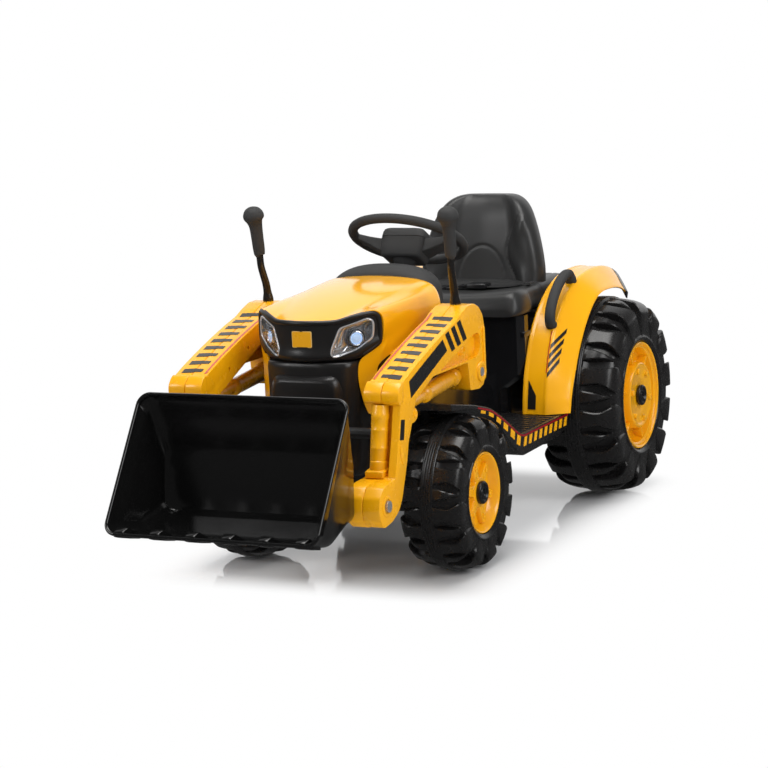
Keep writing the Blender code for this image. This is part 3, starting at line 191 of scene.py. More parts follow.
# Tyres: blow-moulded hard plastic, black with a slight sheen. A grooved centre band carries a
# long lug and a short lug in each pitch, staggered from side to side. One pitch is meshed, and
# copies of it close the ring.
def moulded_skin():
    """Shader group: the fine grain, slow sink marks and uneven gloss of a moulded surface."""
    group = bpy.data.node_groups.get("moulded_skin")
    if group:
        return group
    group = bpy.data.node_groups.new("moulded_skin", "ShaderNodeTree")
    for label, value in (("Roughness", 0.3), ("Unevenness", 0.2), ("Grain Scale", 1200.0),
                         ("Grain Depth", 0.00001), ("Sink Depth", 0.0002)):
        socket = group.interface.new_socket(label, in_out="INPUT", socket_type="NodeSocketFloat")
        socket.default_value = value
    for label in ("Roughness", "Height", "Mottle"):
        group.interface.new_socket(label, in_out="OUTPUT", socket_type="NodeSocketFloat")
    given = node(group, "NodeGroupInput").outputs
    where = node(group, "ShaderNodeTexCoord").outputs["Object"]
    noises = [node(group, "ShaderNodeTexNoise", {"Vector": where, "Scale": scale, "Detail": detail})
              for scale, detail in ((given["Grain Scale"], 2.0), (9.0, 1.0), (55.0, 5.0))]
    grain, slow, smear = [noise.outputs["Fac"] for noise in noises]
    fine = maths(group, "MULTIPLY", grain, given["Grain Depth"])
    sunk = maths(group, "MULTIPLY", slow, given["Sink Depth"])
    spread = maths(group, "MULTIPLY", maths(group, "SUBTRACT", smear, 0.5), given["Unevenness"])
    rough = maths(group, "MULTIPLY", given["Roughness"], maths(group, "ADD", spread, 1.0))
    node(group, "NodeGroupOutput", {"Roughness": rough, "Height": maths(group, "ADD", fine, sunk),
                                    "Mottle": slow})
    return group


def plastic(name, colour, shade, roughness, grain=(1200.0, 0.00001), sink=0.0002, uneven=0.5, coat=0.0):
    """A moulded plastic: two close colours, and the skin group's gloss and relief."""
    look = shaded(name, {"Coat Weight": coat, "Coat Roughness": 0.08})
    tree = look.node_tree
    values = {"Roughness": roughness, "Unevenness": uneven, "Grain Scale": grain[0],
              "Grain Depth": grain[1], "Sink Depth": sink}
    skin = node(tree, "ShaderNodeGroup", values, node_tree=moulded_skin()).outputs
    tint = node(tree, "ShaderNodeMix", {"Factor": skin["Mottle"], "A": (*colour, 1), "B": (*shade, 1)},
                data_type="RGBA")
    bump = node(tree, "ShaderNodeBump", {"Height": skin["Height"], "Distance": 1.0})
    shader = tree.nodes["Principled BSDF"]
    tree.links.new(tint.outputs["Result"], shader.inputs["Base Color"])
    tree.links.new(skin["Roughness"], shader.inputs["Roughness"])
    tree.links.new(bump.outputs["Normal"], shader.inputs["Normal"])
    return look


def piece(name, mesh, look, body, slot, *nodes, smooth=35):
    """A finished mesh as an object that rides on a body and stands for the named nodes."""
    mesh.name = name
    mesh.materials.clear()
    mesh.materials.append(look)
    mesh.shade_smooth()
    mesh.set_sharp_from_angle(angle=math.radians(smooth))
    made = placed(name, mesh)
    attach(made, body)
    if nodes:
        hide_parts(*nodes)
    return made


def worked(mesh, *steps):
    """The plain mesh that a row of modifiers makes, each given as its type and settings."""
    holder = placed("holder", mesh)
    for kind, settings in steps:
        step = holder.modifiers.new(kind.lower(), kind)
        for name, value in settings.items():
            if hasattr(step, name):
                setattr(step, name, value)
            else:
                step[name] = value
    bpy.context.view_layer.update()
    shown = holder.evaluated_get(bpy.context.evaluated_depsgraph_get())
    result = bpy.data.meshes.new_from_object(shown)
    holder.modifiers.clear()
    bpy.data.objects.remove(holder, do_unlink=True)
    return result


def copies_tree():
    """Geometry tree: copies of a shape in a row or turned round the X axis, joined where they meet."""
    tree = bpy.data.node_groups.get("copies")
    if tree:
        return tree
    tree = bpy.data.node_groups.new("copies", "GeometryNodeTree")
    for label, kind in (("Geometry", "Geometry"), ("Count", "Int"), ("Step", "Vector"), ("Turn", "Float"),
                        ("Weld", "Float"), ("Material", "Material")):
        tree.interface.new_socket(label, in_out="INPUT", socket_type=f"NodeSocket{kind}")
    tree.interface.new_socket("Geometry", in_out="OUTPUT", socket_type="NodeSocketGeometry")
    given = node(tree, "NodeGroupInput").outputs
    places = node(tree, "GeometryNodeMeshLine", {"Count": given["Count"], "Offset": given["Step"]})
    share = maths(tree, "DIVIDE", node(tree, "GeometryNodeInputIndex").outputs[0], given["Count"])
    turned = node(tree, "FunctionNodeAxisAngleToRotation",
                  {"Axis": (1, 0, 0), "Angle": maths(tree, "MULTIPLY", share, given["Turn"])})
    copies = node(tree, "GeometryNodeInstanceOnPoints", {"Points": places.outputs[0],
                                                         "Instance": given["Geometry"],
                                                         "Rotation": turned.outputs[0]})
    real = node(tree, "GeometryNodeRealizeInstances", {0: copies.outputs[0]})
    welded = node(tree, "GeometryNodeMergeByDistance", {0: real.outputs[0], "Distance": given["Weld"]})
    coloured = node(tree, "GeometryNodeSetMaterial", {0: welded.outputs[0], "Material": given["Material"]})
    node(tree, "NodeGroupOutput", {0: coloured.outputs[0]})
    return tree


def copied(mesh, count, look, step=(0.0, 0.0, 0.0), turn=0.0, weld=0.0):
    """Copies of a mesh, each a step further on, or spread over a turn round the X axis."""
    values = {"Count": count, "Step": step, "Turn": turn, "Weld": weld, "Material": look}
    tree = copies_tree()
    named = {entry.identifier: values[entry.name] for entry in tree.interface.items_tree
             if entry.name in values}
    return worked(mesh, ("NODES", {"node_group": tree, **named}))


def finished(shape, merge=1e-6):
    """A bmesh as a mesh, with its doubles merged and its faces turned outwards."""
    bmesh.ops.remove_doubles(shape, verts=shape.verts, dist=merge)
    bmesh.ops.recalc_face_normals(shape, faces=shape.faces)
    mesh = bpy.data.meshes.new("shape")
    shape.to_mesh(mesh)
    shape.free()
    return mesh


def stitched(rows, closed=True, capped=False):
    """A mesh through rows of points. A row of one point closes an end, and caps fill open ends."""
    shape = bmesh.new()
    made = [[shape.verts.new(point) for point in row] for row in rows]
    for row, following in zip(made, made[1:]):
        longest = max(len(row), len(following))
        for k in range(longest if closed else longest - 1):
            m = (k + 1) % longest
            corners = (row[k % len(row)], row[m % len(row)],
                       following[m % len(following)], following[k % len(following)])
            corners = list(dict.fromkeys(corners))
            if len(corners) > 2:
                shape.faces.new(corners)
    if capped:
        for row in (made[0], made[-1]):
            if len(row) > 2:
                shape.faces.new(row)
    return finished(shape)


def between(stations, share):
    """Values of a smooth curve through rows of numbers, at a share of the way along them."""
    at = share * (len(stations) - 1)
    i = min(int(at), len(stations) - 2)
    t = at - i
    a, b = stations[max(i - 1, 0)], stations[i]
    c, d = stations[i + 1], stations[min(i + 2, len(stations) - 1)]
    return [0.5 * (2 * q + (r - p) * t + (2 * p - 5 * q + 4 * r - s) * t * t
                   + (3 * q - p - 3 * r + s) * t ** 3) for p, q, r, s in zip(a, b, c, d)]


# Each station outwards from the centre band: lug surface and valley, as a share of the half
# width and a drop as a share of the radius, then the long and the short lug's edges as shares
# of the pitch, and the short lug's height.
TREAD = (
    (0.206, 0.020, 0.206, 0.052, 0.02, 0.42, 0.56, 0.83, 1.0),
    (0.330, 0.023, 0.330, 0.084, 0.03, 0.41, 0.57, 0.82, 1.0),
    (0.520, 0.031, 0.510, 0.108, 0.06, 0.38, 0.60, 0.79, 1.0),
    (0.700, 0.046, 0.690, 0.134, 0.05, 0.39, 0.64, 0.75, 0.7),
    (0.870, 0.078, 0.830, 0.162, -0.03, 0.48, 0.67, 0.72, 0.2),
    (0.968, 0.135, 0.905, 0.200, -0.09, 0.55, 0.68, 0.71, 0.0),
    (0.985, 0.215, 0.930, 0.252, -0.07, 0.53, 0.67, 0.71, 0.0),
    (0.962, 0.310, 0.930, 0.330, 0.02, 0.43, 0.66, 0.71, 0.0),
    (0.945, 0.385, 0.935, 0.389, 0.12, 0.32, 0.66, 0.71, 0.0),
)
BEAD = ((0.957, 0.398), (0.965, 0.412), (0.955, 0.428), (0.925, 0.444))
BAND_HALF = 0.200
BAND_GROOVES = 5
GROOVE_DEPTH = 0.0011
LUG_FLANK = 0.024
TREAD_ROWS = 22


def lug_columns(low, high, height):
    """Places along the pitch, and heights, across one lug with rounded edges."""
    soft = min(0.022, (high - low) * 0.3)
    return [(low - LUG_FLANK, 0.0), (low - LUG_FLANK * 0.12, 0.86 * height), (low + soft, height),
            ((low + high) / 2, height), (high - soft, height), (high + LUG_FLANK * 0.12, 0.86 * height),
            (high + LUG_FLANK, 0.0)]


def tread_row(share, staggered):
    """One row across a pitch: where the surface is on and between lugs, and its columns."""
    x, drop, valley_x, valley_drop, long_low, long_high, short_low, short_high, short = between(TREAD, share)
    long_lug = lug_columns(long_low, long_high, 1.0)
    short_lug = lug_columns(short_low, short_high, max(short, 0.0))
    if staggered:
        first = [(t - 0.5, h) for t, h in short_lug]
        second = [(t + 0.5, h) for t, h in long_lug]
    else:
        first, second = long_lug, short_lug
    columns = first + [((first[-1][0] + second[0][0]) / 2, 0.0)] + second
    columns.append(((second[-1][0] + first[0][0] + 1) / 2, 0.0))
    columns.append((first[0][0] + 1, 0.0))
    return [(valley_x + (x - valley_x) * h, valley_drop + (drop - valley_drop) * h, t) for t, h in columns]


def tyre_pitch(radius, half, bore, count):
    """One pitch of a tyre round the origin's X axis, from the outer bead over to the inner one."""
    rows = []
    for staggered, side in ((False, 1), (True, -1)):
        tread = [tread_row(k / TREAD_ROWS, staggered) for k in range(TREAD_ROWS + 1)]
        last = tread[-1]
        bead = [[(x, drop, t) for _, _, t in last] for x, drop in BEAD]
        rim = [(BEAD[-1][0] - 0.03, 1 - bore / radius, t) for _, _, t in last]
        rows.append([[(side * x * half, radius * (1 - drop), t) for x, drop, t in row]
                     for row in tread + bead + [rim]])
    outer, inner = rows
    band = []
    steps = BAND_GROOVES * 4 + 1
    for k in range(steps + 1):
        across = 1 - 2 * k / steps
        groove = GROOVE_DEPTH if k % 4 == 2 else 0.0
        edge = 0.0022 * abs(across) ** 6
        lean = (1 - across) / 2
        band.append([(across * BAND_HALF * half, radius - groove - edge,
                      a[2] + (b[2] - a[2]) * lean) for a, b in zip(outer[0], inner[0])])
    pitch = 2 * math.pi / count
    grid = [[(x, r * math.cos(t * pitch), r * math.sin(t * pitch)) for x, r, t in row]
            for row in outer[::-1] + band + inner]
    return stitched(grid + [grid[0]], closed=False)


tyre_black = plastic("tyre_black", (0.013, 0.012, 0.012), (0.008, 0.008, 0.008), 0.27,
                     grain=(900.0, 0.000012), sink=0.0006)
TYRE_WELD = 0.00002
axles = {}
for kind, pitches in (("rear", 14), ("front", 12)):
    low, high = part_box(f"{kind}_tyre_left")
    rim_low, rim_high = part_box(f"{kind}_rim_left")
    axle = (low + high) / 2
    unit = tyre_pitch((high.z - low.z) / 2, (high.x - low.x) / 2, (rim_high.z - rim_low.z) / 2 + 0.0008,
                      pitches)
    whole = copied(unit, pitches, tyre_black, turn=2 * math.pi, weld=TYRE_WELD)
    for word, side in SIDES:
        mesh = whole.copy()
        if side < 0:
            mesh.transform(Matrix.Rotation(math.pi, 4, "Z"))
        mesh.transform(Matrix.Translation((side * axle.x, axle.y, axle.z)))
        piece(f"{kind}_tyre_tread_{word}", mesh, tyre_black, f"{kind}_wheel_{word}", "tyre_plastic",
              f"{kind}_tyre_{word}", smooth=28)
    axles[kind] = axle


# Rims: glossy yellow moulded dishes pressed into the tyres. The rear one has a stepped lip, a
# deep channel crossed by six webs, and a raised disc with six bosses. The front one has six
# flat spokes between recesses.
def turns(count):
    """Angles at equal steps round a full turn."""
    return [2 * math.pi * k / count for k in range(count)]


def lathe(profile, steps=96):
    """A mesh turned round the X axis from (x, radius) points. A radius of 0 closes an end."""
    return stitched([[(x, r * math.cos(a), r * math.sin(a)) for a in turns(steps if r else 1)]
                     for x, r in profile])


def bevelled(mesh, width, segments=3, angle=30):
    """A mesh with its sharp edges rounded."""
    return worked(mesh, ("BEVEL", {"width": width, "segments": segments, "limit_method": "ANGLE",
                                   "angle_limit": math.radians(angle), "use_clamp_overlap": True}))


def joined(*meshes):
    """Several meshes as one."""
    shape = bmesh.new()
    for mesh in meshes:
        shape.from_mesh(mesh)
    whole = bpy.data.meshes.new("joined")
    shape.to_mesh(whole)
    shape.free()
    return whole


def moved(mesh, by):
    """The mesh, shifted."""
    mesh.transform(Matrix.Translation(Vector(by)))
    return mesh


def mirrored(mesh):
    """The same mesh for the object's right side, with its faces turned outwards again."""
    other = mesh.copy()
    other.transform(Matrix.Diagonal((-1, 1, 1, 1)))
    other.flip_normals()
    return other


def pair(*rows, body="chassis", smooth=35):
    """Pieces on both sides, each given by its name, left mesh, finish, slot and nodes. The slot is not used.
    """
    for word, side in SIDES:
        for name, mesh, look, slot, *nodes in rows:
            piece(f"{name}_{word}", mesh.copy() if side > 0 else mirrored(mesh), look, body.format(word),
                  slot, *(f"{node_name}_{word}" for node_name in nodes), smooth=smooth)


YELLOW = (0.93, 0.440, 0.004)
YELLOW_SHADE = (0.90, 0.400, 0.003)
rim_yellow = plastic("rim_yellow", YELLOW, YELLOW_SHADE, 0.24, sink=0.0003, coat=0.4)
AXLE_HOLE = 0.0068
REAR_RIM = ((-0.138, AXLE_HOLE), (-0.138, 0.095), (-0.135, 0.1020), (-0.004, 0.1026), (-0.0012, 0.1022),
            (0.0, 0.1008), (-0.0002, 0.0990), (-0.0014, 0.0976), (-0.0048, 0.0968), (-0.0062, 0.0958),
            (-0.0066, 0.0935), (-0.0078, 0.0918), (-0.0150, 0.0900), (-0.0220, 0.0872), (-0.0250, 0.0850),
            (-0.0262, 0.0815), (-0.0262, 0.0700), (-0.0245, 0.0662), (-0.0180, 0.0648), (-0.0050, 0.0632),
            (-0.0018, 0.0622), (-0.0004, 0.0602), (-0.0004, 0.0570), (-0.0014, 0.0555), (-0.0020, 0.0500),
            (-0.0034, 0.0380), (-0.0042, 0.0320), (-0.0052, 0.0290), (-0.0054, 0.0250), (-0.0054, AXLE_HOLE))
FRONT_RIM = ((-0.096, AXLE_HOLE), (-0.096, 0.062), (-0.094, 0.0690), (-0.003, 0.0696), (-0.0009, 0.0692),
             (0.0, 0.0682), (-0.0002, 0.0668), (-0.0012, 0.0657), (-0.0060, 0.0636), (-0.0105, 0.0610),
             (-0.0150, 0.0590), (-0.0172, 0.0566), (-0.0176, 0.0530), (-0.0176, 0.0300), (-0.0160, 0.0272),
             (-0.0110, 0.0262), (-0.0085, 0.0250), (-0.0078, 0.0230), (-0.0078, AXLE_HOLE))


def boss(x, at, radius, height):
    """A small domed post on a rim's face, out along Y from the axle."""
    shape = lathe(((0, radius * 1.25), (height * 0.15, radius * 1.04), (height * 0.75, radius),
                   (height * 0.96, radius * 0.78), (height, radius * 0.4), (height, 0)), 14)
    return moved(shape, (x, at, 0))


def web(x_floor, x_top, near, far, half_near, half_far):
    """A radial web or spoke between two radii, with rounded edges."""
    rows = []
    for y, half in ((near, half_near), (far, half_far)):
        rows.append([(x_floor, y, -half * 1.25), (x_top, y, -half), (x_top, y, half),
                     (x_floor, y, half * 1.25)])
    return bevelled(stitched(rows, capped=True), 0.0012, 2)


rear_unit = joined(boss(-0.0022, 0.0490, 0.0054, 0.0052), boss(-0.0262, 0.0760, 0.0040, 0.0140),
                   web(-0.0265, -0.0085, 0.0620, 0.0905, 0.0018, 0.0026))
front_unit = joined(web(-0.0180, -0.0092, 0.0225, 0.0560, 0.0098, 0.0062),
                    boss(-0.0096, 0.0445, 0.0042, 0.0026), boss(-0.0098, 0.0300, 0.0030, 0.0016))
RIM_UNITS = 6
RIM_TURN = math.radians(47)
for kind, profile, unit in (("rear", REAR_RIM, rear_unit), ("front", FRONT_RIM, front_unit)):
    ring = copied(unit, RIM_UNITS, rim_yellow, turn=2 * math.pi, weld=TYRE_WELD)
    ring.transform(Matrix.Rotation(RIM_TURN, 4, "X"))
    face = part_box(f"{kind}_rim_left")[1].x
    dish = moved(joined(lathe(profile), ring), (face, axles[kind].y, axles[kind].z))
    pair((f"{kind}_rim_dish", dish, rim_yellow, "yellow_plastic", f"{kind}_rim"), body=kind + "_wheel_{}")


# Hub caps: black moulded caps pushed over the axle nuts. Their front is dished, with a raised
# ring and a blind hole in the middle.
trim_black = plastic("trim_black", (0.012, 0.012, 0.013), (0.008, 0.008, 0.009), 0.26)
HUB_CAP = ((0.0, 0.0), (0.0, 0.0196), (0.0030, 0.0202), (0.0056, 0.0198), (0.0074, 0.0184), (0.0080, 0.0168),
           (0.0078, 0.0150), (0.0062, 0.0138), (0.0046, 0.0128), (0.0042, 0.0112), (0.0052, 0.0098),
           (0.0064, 0.0088), (0.0064, 0.0072), (0.0040, 0.0064), (0.0030, 0.0))
for kind, proud in (("rear", 0.0104), ("front", 0.0)):
    cap_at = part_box(f"{kind}_hub_cap_left")[0].x + proud
    cap = moved(lathe(HUB_CAP, 64), (cap_at, axles[kind].y, axles[kind].z))
    pair((f"{kind}_hub_cap_face", cap, trim_black, "black_trim", f"{kind}_hub_cap"), body=kind + "_wheel_{}")


# Running gear: zinc-plated axles, knuckles, column, tie rod and loader rods, a black painted
# front beam and cross tube, two moulded gearboxes and the sealed battery. These are the
# working parts themselves, with their finishes.
def metal(name, colour, roughness, metallic=1.0):
    """A metal or painted finish with an uneven gloss and a faint cloudiness."""
    look = plastic(name, [0.82 * c for c in colour], colour, roughness, (2400.0, 0.000004), 0.0, 1.1)
    look.node_tree.nodes["Principled BSDF"].inputs["Metallic"].default_value = metallic
    return look


def dress(look, *nodes):
    """Gives a working part its finish."""
    for name in nodes:
        for place in frame["nodes"][name].material_slots:
            place.material = look


zinc = metal("zinc_plate", (0.66, 0.66, 0.67), 0.30, 0.75)
frame_paint = metal("frame_paint", (0.012, 0.012, 0.013), 0.34, 0.0)
case_black = plastic("case_black", (0.020, 0.020, 0.021), (0.013, 0.013, 0.014), 0.48)
battery_grey = plastic("battery_grey", (0.055, 0.055, 0.060), (0.040, 0.040, 0.043), 0.45)
dress(zinc, "rear_axle", "knuckle_left", "knuckle_right", "steering_shaft", "tie_rod", "pivot_rod",
      "bucket_rod")
dress(frame_paint, "front_axle_beam", "cross_tube")
dress(case_black, "gearbox_left", "gearbox_right")
dress(battery_grey, "battery")


# Body tub: the black moulded spine, tunnel and seat box that everything bolts to. The open
# sides under the cushion are glossy, with a stepped ledge just below the seat.
def prism(outline, x_from, x_to):
    """An outline of (y, z) points, extruded along X."""
    return stitched([[(x, y, z) for y, z in outline] for x in (x_from, x_to)], capped=True)


body_black = plastic("body_black", (0.010, 0.010, 0.011), (0.007, 0.007, 0.008), 0.17, sink=0.0004, coat=0.5)
dress(body_black, "body_tub")
BOX_HALF = 0.1500
BOX_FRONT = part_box("seat_base")[0].y + 0.018
BOX_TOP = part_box("seat_base")[0].z - 0.0004
ledge = [(BOX_FRONT + y, BOX_TOP - z) for y, z in
         ((0.004, 0.040), (0.048, 0.040), (0.048, 0.030), (0.004, 0.030))]
ledge = bevelled(prism(ledge, BOX_HALF - 0.004, BOX_HALF + 0.0022), 0.0014)
pair(("seat_box_ledge", ledge, body_black, "black_plastic"))


# Nose: a black box-shaped moulding under the mask, screwed to the spine. Its corners are
# rounded, it tapers towards the bottom, and a raised panel with a bevelled top stands on it.
def rounded(outline, radius, steps=4, closed=True):
    """An outline with each corner replaced by a short curve."""
    made = []
    for i, point in enumerate(outline):
        point = Vector(point)
        if not closed and i in (0, len(outline) - 1):
            made.append(point)
            continue
        before, after = Vector(outline[i - 1]), Vector(outline[(i + 1) % len(outline)])
        start = point + (before - point).normalized() * min(radius, (before - point).length * 0.49)
        end = point + (after - point).normalized() * min(radius, (after - point).length * 0.49)
        for k in range(steps + 1):
            t = k / steps
            made.append(start * (1 - t) ** 2 + point * 2 * t * (1 - t) + end * t * t)
    return made


NOSE_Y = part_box("hood")[0].y
NOSE_CURVE = 5.4
MASK_LOW = 0.3766
mask_black = plastic("mask_black", (0.014, 0.013, 0.013), (0.010, 0.0095, 0.0095), 0.33, sink=0.0003,
                     grain=(1500.0, 0.000012))


def nose_at(x):
    """Y of the rounded nose at a distance from the centre line."""
    return NOSE_Y + NOSE_CURVE * x * x


NOSE_LEVELS = ((0.1735, 0.70, 0.016), (0.1800, 0.78, 0.008), (0.2050, 0.86, 0.003), (0.262, 0.955, 0.0),
               (0.320, 0.99, 0.0), (0.366, 1.0, 0.0), (0.3735, 0.995, 0.0012), (0.3756, 0.98, 0.0035))
rows = []
for z, share, tuck in NOSE_LEVELS:
    half = [(0.0, -0.0030), (0.034, -0.0022), (0.0640, 0.0050), (0.0775, 0.0150), (0.0815, 0.0300),
            (0.0835, 0.0420), (0.0900, 0.0485), (0.0955, 0.0560), (0.0955, 0.0850)]
    ring = [(x * share, NOSE_Y + 0.004 + y + tuck) for x, y in half]
    ring = rounded(ring + [(-x, y) for x, y in ring[:0:-1]], 0.010)
    rows.append([(x, y, z) for x, y in ring])
nose_box = stitched(rows, capped=True)
panel_rows = []
for inset, out in ((0.0, 0.0060), (0.0004, -0.0006), (0.0090, -0.0082), (0.0120, -0.0090)):
    plate = rounded([(0.0655 - inset, 0.178), (0.0655 - inset, 0.334), (0.0565 - inset, 0.3545 - inset),
                     (-0.0565 + inset, 0.3545 - inset), (-0.0655 + inset, 0.334), (-0.0655 + inset, 0.178)],
                    0.012, 5)
    panel_rows.append([(x, NOSE_Y + 0.0006 + out + 1.2 * x * x, z) for x, z in plate])
nose_panel = stitched(panel_rows, capped=True)
piece("nose_box", joined(nose_box, nose_panel), mask_black, "chassis", "black_mask", "nose_cowl", smooth=50)


# Mask: the satin black panel between the lamps. It follows the nose's curve, has a rounded
# chin, and a raised rim that runs under the hood's edge and round both lamps.
def sweep(path, section, up=(0, -1, 0), closed=True):
    """A mesh of a (side, up) section carried along a path."""
    up = Vector(up)
    path = [Vector(point) for point in path]
    rows = []
    for i, point in enumerate(path):
        if closed:
            ahead = path[(i + 1) % len(path)] - path[i - 1]
        else:
            ahead = path[min(i + 1, len(path) - 1)] - path[max(i - 1, 0)]
        ahead.normalize()
        lift = (up - ahead * up.dot(ahead)).normalized()
        across = ahead.cross(lift)
        rows.append([point + across * a + lift * b for a, b in section])
    if closed:
        rows.append(rows[0])
    return stitched(rows, capped=not closed)


def lamp_outline(side, share=1.0):
    """One headlamp's outline as (x, z), scaled about its middle."""
    points = ((0.060, 0.433), (0.100, 0.447), (0.1065, 0.440), (0.105, 0.413),
              (0.085, 0.395), (0.055, 0.3825), (0.047, 0.385), (0.047, 0.395))
    return [(side * (0.078 + (x - 0.078) * share), 0.415 + (z - 0.415) * share) for x, z in points]


def carved(mesh, *tools):
    """A mesh with closed shapes taken out of it."""
    for shape in tools:
        tool = placed("tool", shape)
        bpy.context.view_layer.update()
        mesh = worked(mesh, ("BOOLEAN", {"operation": "DIFFERENCE", "solver": "EXACT", "object": tool}))
        bpy.data.objects.remove(tool, do_unlink=True)
    return mesh


MASK_COLUMNS = ((0.0, MASK_LOW, 0.4432), (0.036, MASK_LOW, 0.4432), (0.057, MASK_LOW, 0.4434),
                (0.0700, 0.3768, 0.4470), (0.0836, 0.3790, 0.4520), (0.0930, 0.3850, 0.4550),
                (0.1010, 0.3910, 0.4565), (0.1085, 0.3965, 0.4530), (0.1130, 0.4010, 0.4430))
CHIN = ((0.0, 0.0065), (0.020, 0.0005), (0.060, -0.0034), (0.120, -0.0050), (0.190, -0.0044),
        (0.270, -0.0022), (0.360, -0.0006), (0.50, 0.0), (0.70, 0.0), (0.88, 0.0), (1.0, 0.0))
columns = []
for k in range(-48, 49):
    x, low, high = between(MASK_COLUMNS, abs(k) / 48)
    column = []
    for share, out in CHIN:
        z = low + (high - low) * share
        narrow = min(1.0, 0.35 + 0.65 * (high - low) / 0.066)
        column.append((math.copysign(x, k), nose_at(x) - 0.0012 + out * narrow, z))
    columns.append(column)
mask = worked(stitched(columns, closed=False), ("SOLIDIFY", {"thickness": 0.0040, "offset": -1.0}))
LAMP_TOOL = (-0.40, -0.20)
for _, side in SIDES:
    hole = rounded(lamp_outline(side), 0.006)
    mask = carved(mask, stitched([[(x, y, z) for x, z in hole] for y in LAMP_TOOL], capped=True))
RIM_PATH = ((0.0, 0.4424), (0.040, 0.4424), (0.057, 0.4428), (0.078, 0.4498), (0.1005, 0.4548),
            (0.1080, 0.4515), (0.1108, 0.4430), (0.1120, 0.4310), (0.1115, 0.4040), (0.1030, 0.3955),
            (0.0900, 0.3860))
rim_line = [(-x, z) for x, z in RIM_PATH[:0:-1]] + list(RIM_PATH)
rim_line = rounded(rounded(rim_line, 0.008, 4, closed=False), 0.003, 3, closed=False)
RIM_SECTION = ((0.0042, -0.0030), (0.0042, 0.0012), (0.0034, 0.0026), (0.0016, 0.0034), (-0.0010, 0.0030),
               (-0.0026, 0.0018), (-0.0034, -0.0002), (-0.0036, -0.0030))
rim = sweep([(x, nose_at(abs(x)) - 0.0008, z) for x, z in rim_line], RIM_SECTION, closed=False)
piece("front_mask", joined(mask, rim), mask_black, "chassis", "black_mask", "grille_panel", smooth=40)

emblem_yellow = plastic("emblem_yellow", YELLOW, YELLOW_SHADE, 0.30)
emblem_edge = plastic("emblem_edge", (0.93, 0.62, 0.20), (0.90, 0.58, 0.18), 0.30)
BADGE = ((-0.0180, 0.4015), (0.0180, 0.4015), (0.0180, 0.4290), (-0.0180, 0.4290))
BADGE_MIDDLE = 0.41525
for name, look, shrink, out in (("emblem_border", emblem_edge, 0.0, 0.0016),
                                ("emblem_field", emblem_yellow, 0.0011, 0.0020)):
    badge = rounded([(x - math.copysign(shrink, x), z - math.copysign(shrink, z - BADGE_MIDDLE))
                     for x, z in BADGE], 0.0024, 3)
    rows = [[(x, nose_at(x) - depth, z) for x, z in badge] for depth in (0.0006, 0.0010 + out)]
    piece(name, stitched(rows, capped=True), look, "chassis", "yellow_plastic")


# Headlamps: a vacuum-metallised bowl with a projector and a smaller reflector in it, under a
# clear lens with a thick polished rim. They are clipped into the mask.
chrome = metal("lamp_chrome", (0.88, 0.89, 0.91), 0.12, 0.62)
lens_clear = shaded("lens_clear", {"Base Color": (0.97, 0.985, 1.0, 1), "Roughness": 0.02,
                                   "Transmission Weight": 1.0, "IOR": 1.30})
lens_rim = metal("lens_rim", (0.86, 0.86, 0.88), 0.16, 0.6)
lamp_dark = metal("lamp_dark", (0.46, 0.47, 0.50), 0.34, 0.5)
bulb_glow = shaded("bulb_glow", {"Base Color": (0.70, 0.82, 1.0, 1), "Roughness": 0.06,
                                 "Emission Color": (0.50, 0.70, 1.0, 1), "Emission Strength": 0.55})
LAMP_NEAR = 0.047
LAMP_FAR = 0.1065
lamp_slope = (nose_at(LAMP_FAR) - nose_at(LAMP_NEAR)) / (LAMP_FAR - LAMP_NEAR)


def lamp_spot(x, z, inset):
    """A point behind the plane of the left lamp's face."""
    return Vector((x, nose_at(LAMP_NEAR) + lamp_slope * (x - LAMP_NEAR) + inset, z))


def lamp_loop(share, inset, corner=0.006):
    """A closed loop of points round the left lamp, in the plane of its face."""
    return [lamp_spot(x, z, inset) for x, z in rounded(lamp_outline(1, share), corner * share)]


def lamp_turned(profile, at, steps=40):
    """A turned shape that faces out of the left lamp."""
    shape = lathe(profile, steps)
    facing = Vector((lamp_slope, -1, 0)).normalized()
    shape.transform(facing.to_track_quat("X", "Z").to_matrix().to_4x4())
    return moved(shape, at)


bowl = stitched([lamp_loop(0.99, 0.0010), lamp_loop(0.93, 0.0012), lamp_loop(0.91, 0.0050),
                 lamp_loop(0.84, 0.0056), lamp_loop(0.80, 0.0110), lamp_loop(0.70, 0.0120),
                 lamp_loop(0.62, 0.0148), [lamp_spot(0.078, 0.415, 0.0150)]])
bowl = worked(bowl, ("SOLIDIFY", {"thickness": 0.0012, "offset": 1.0}))
flutes = []
for k in range(6):
    z = 0.4130 + 0.0042 * k
    rib = [lamp_spot(0.0985 + dx, z + dz, 0.0040 + dy) for dx, dz, dy in
           ((-0.0030, 0.0, 0.0060), (-0.0030, 0.0030, 0.0060), (0.0042, 0.0030, 0.0), (0.0042, 0.0, 0.0))]
    front = [point + Vector((0, -0.0020, 0)) for point in rib]
    flutes.append(stitched([rib, front], capped=True))
collar = lamp_turned(((-0.004, 0.0118), (0.006, 0.0128), (0.0085, 0.0126), (0.0092, 0.0112),
                      (0.0078, 0.0098), (0.0040, 0.0094), (-0.004, 0.0094)),
                     lamp_spot(0.0755, 0.4125, 0.0120))
second = lamp_turned(((-0.003, 0.0092), (0.0035, 0.0098), (0.0050, 0.0088), (0.0028, 0.0068),
                      (-0.001, 0.0040), (-0.002, 0.0)), lamp_spot(0.0945, 0.4270, 0.0100), 28)
shade = lamp_turned(((-0.002, 0.0158), (0.0030, 0.0166), (0.0040, 0.0154), (0.0012, 0.0136),
                     (-0.002, 0.0132)),
                    lamp_spot(0.0755, 0.4125, 0.0116))
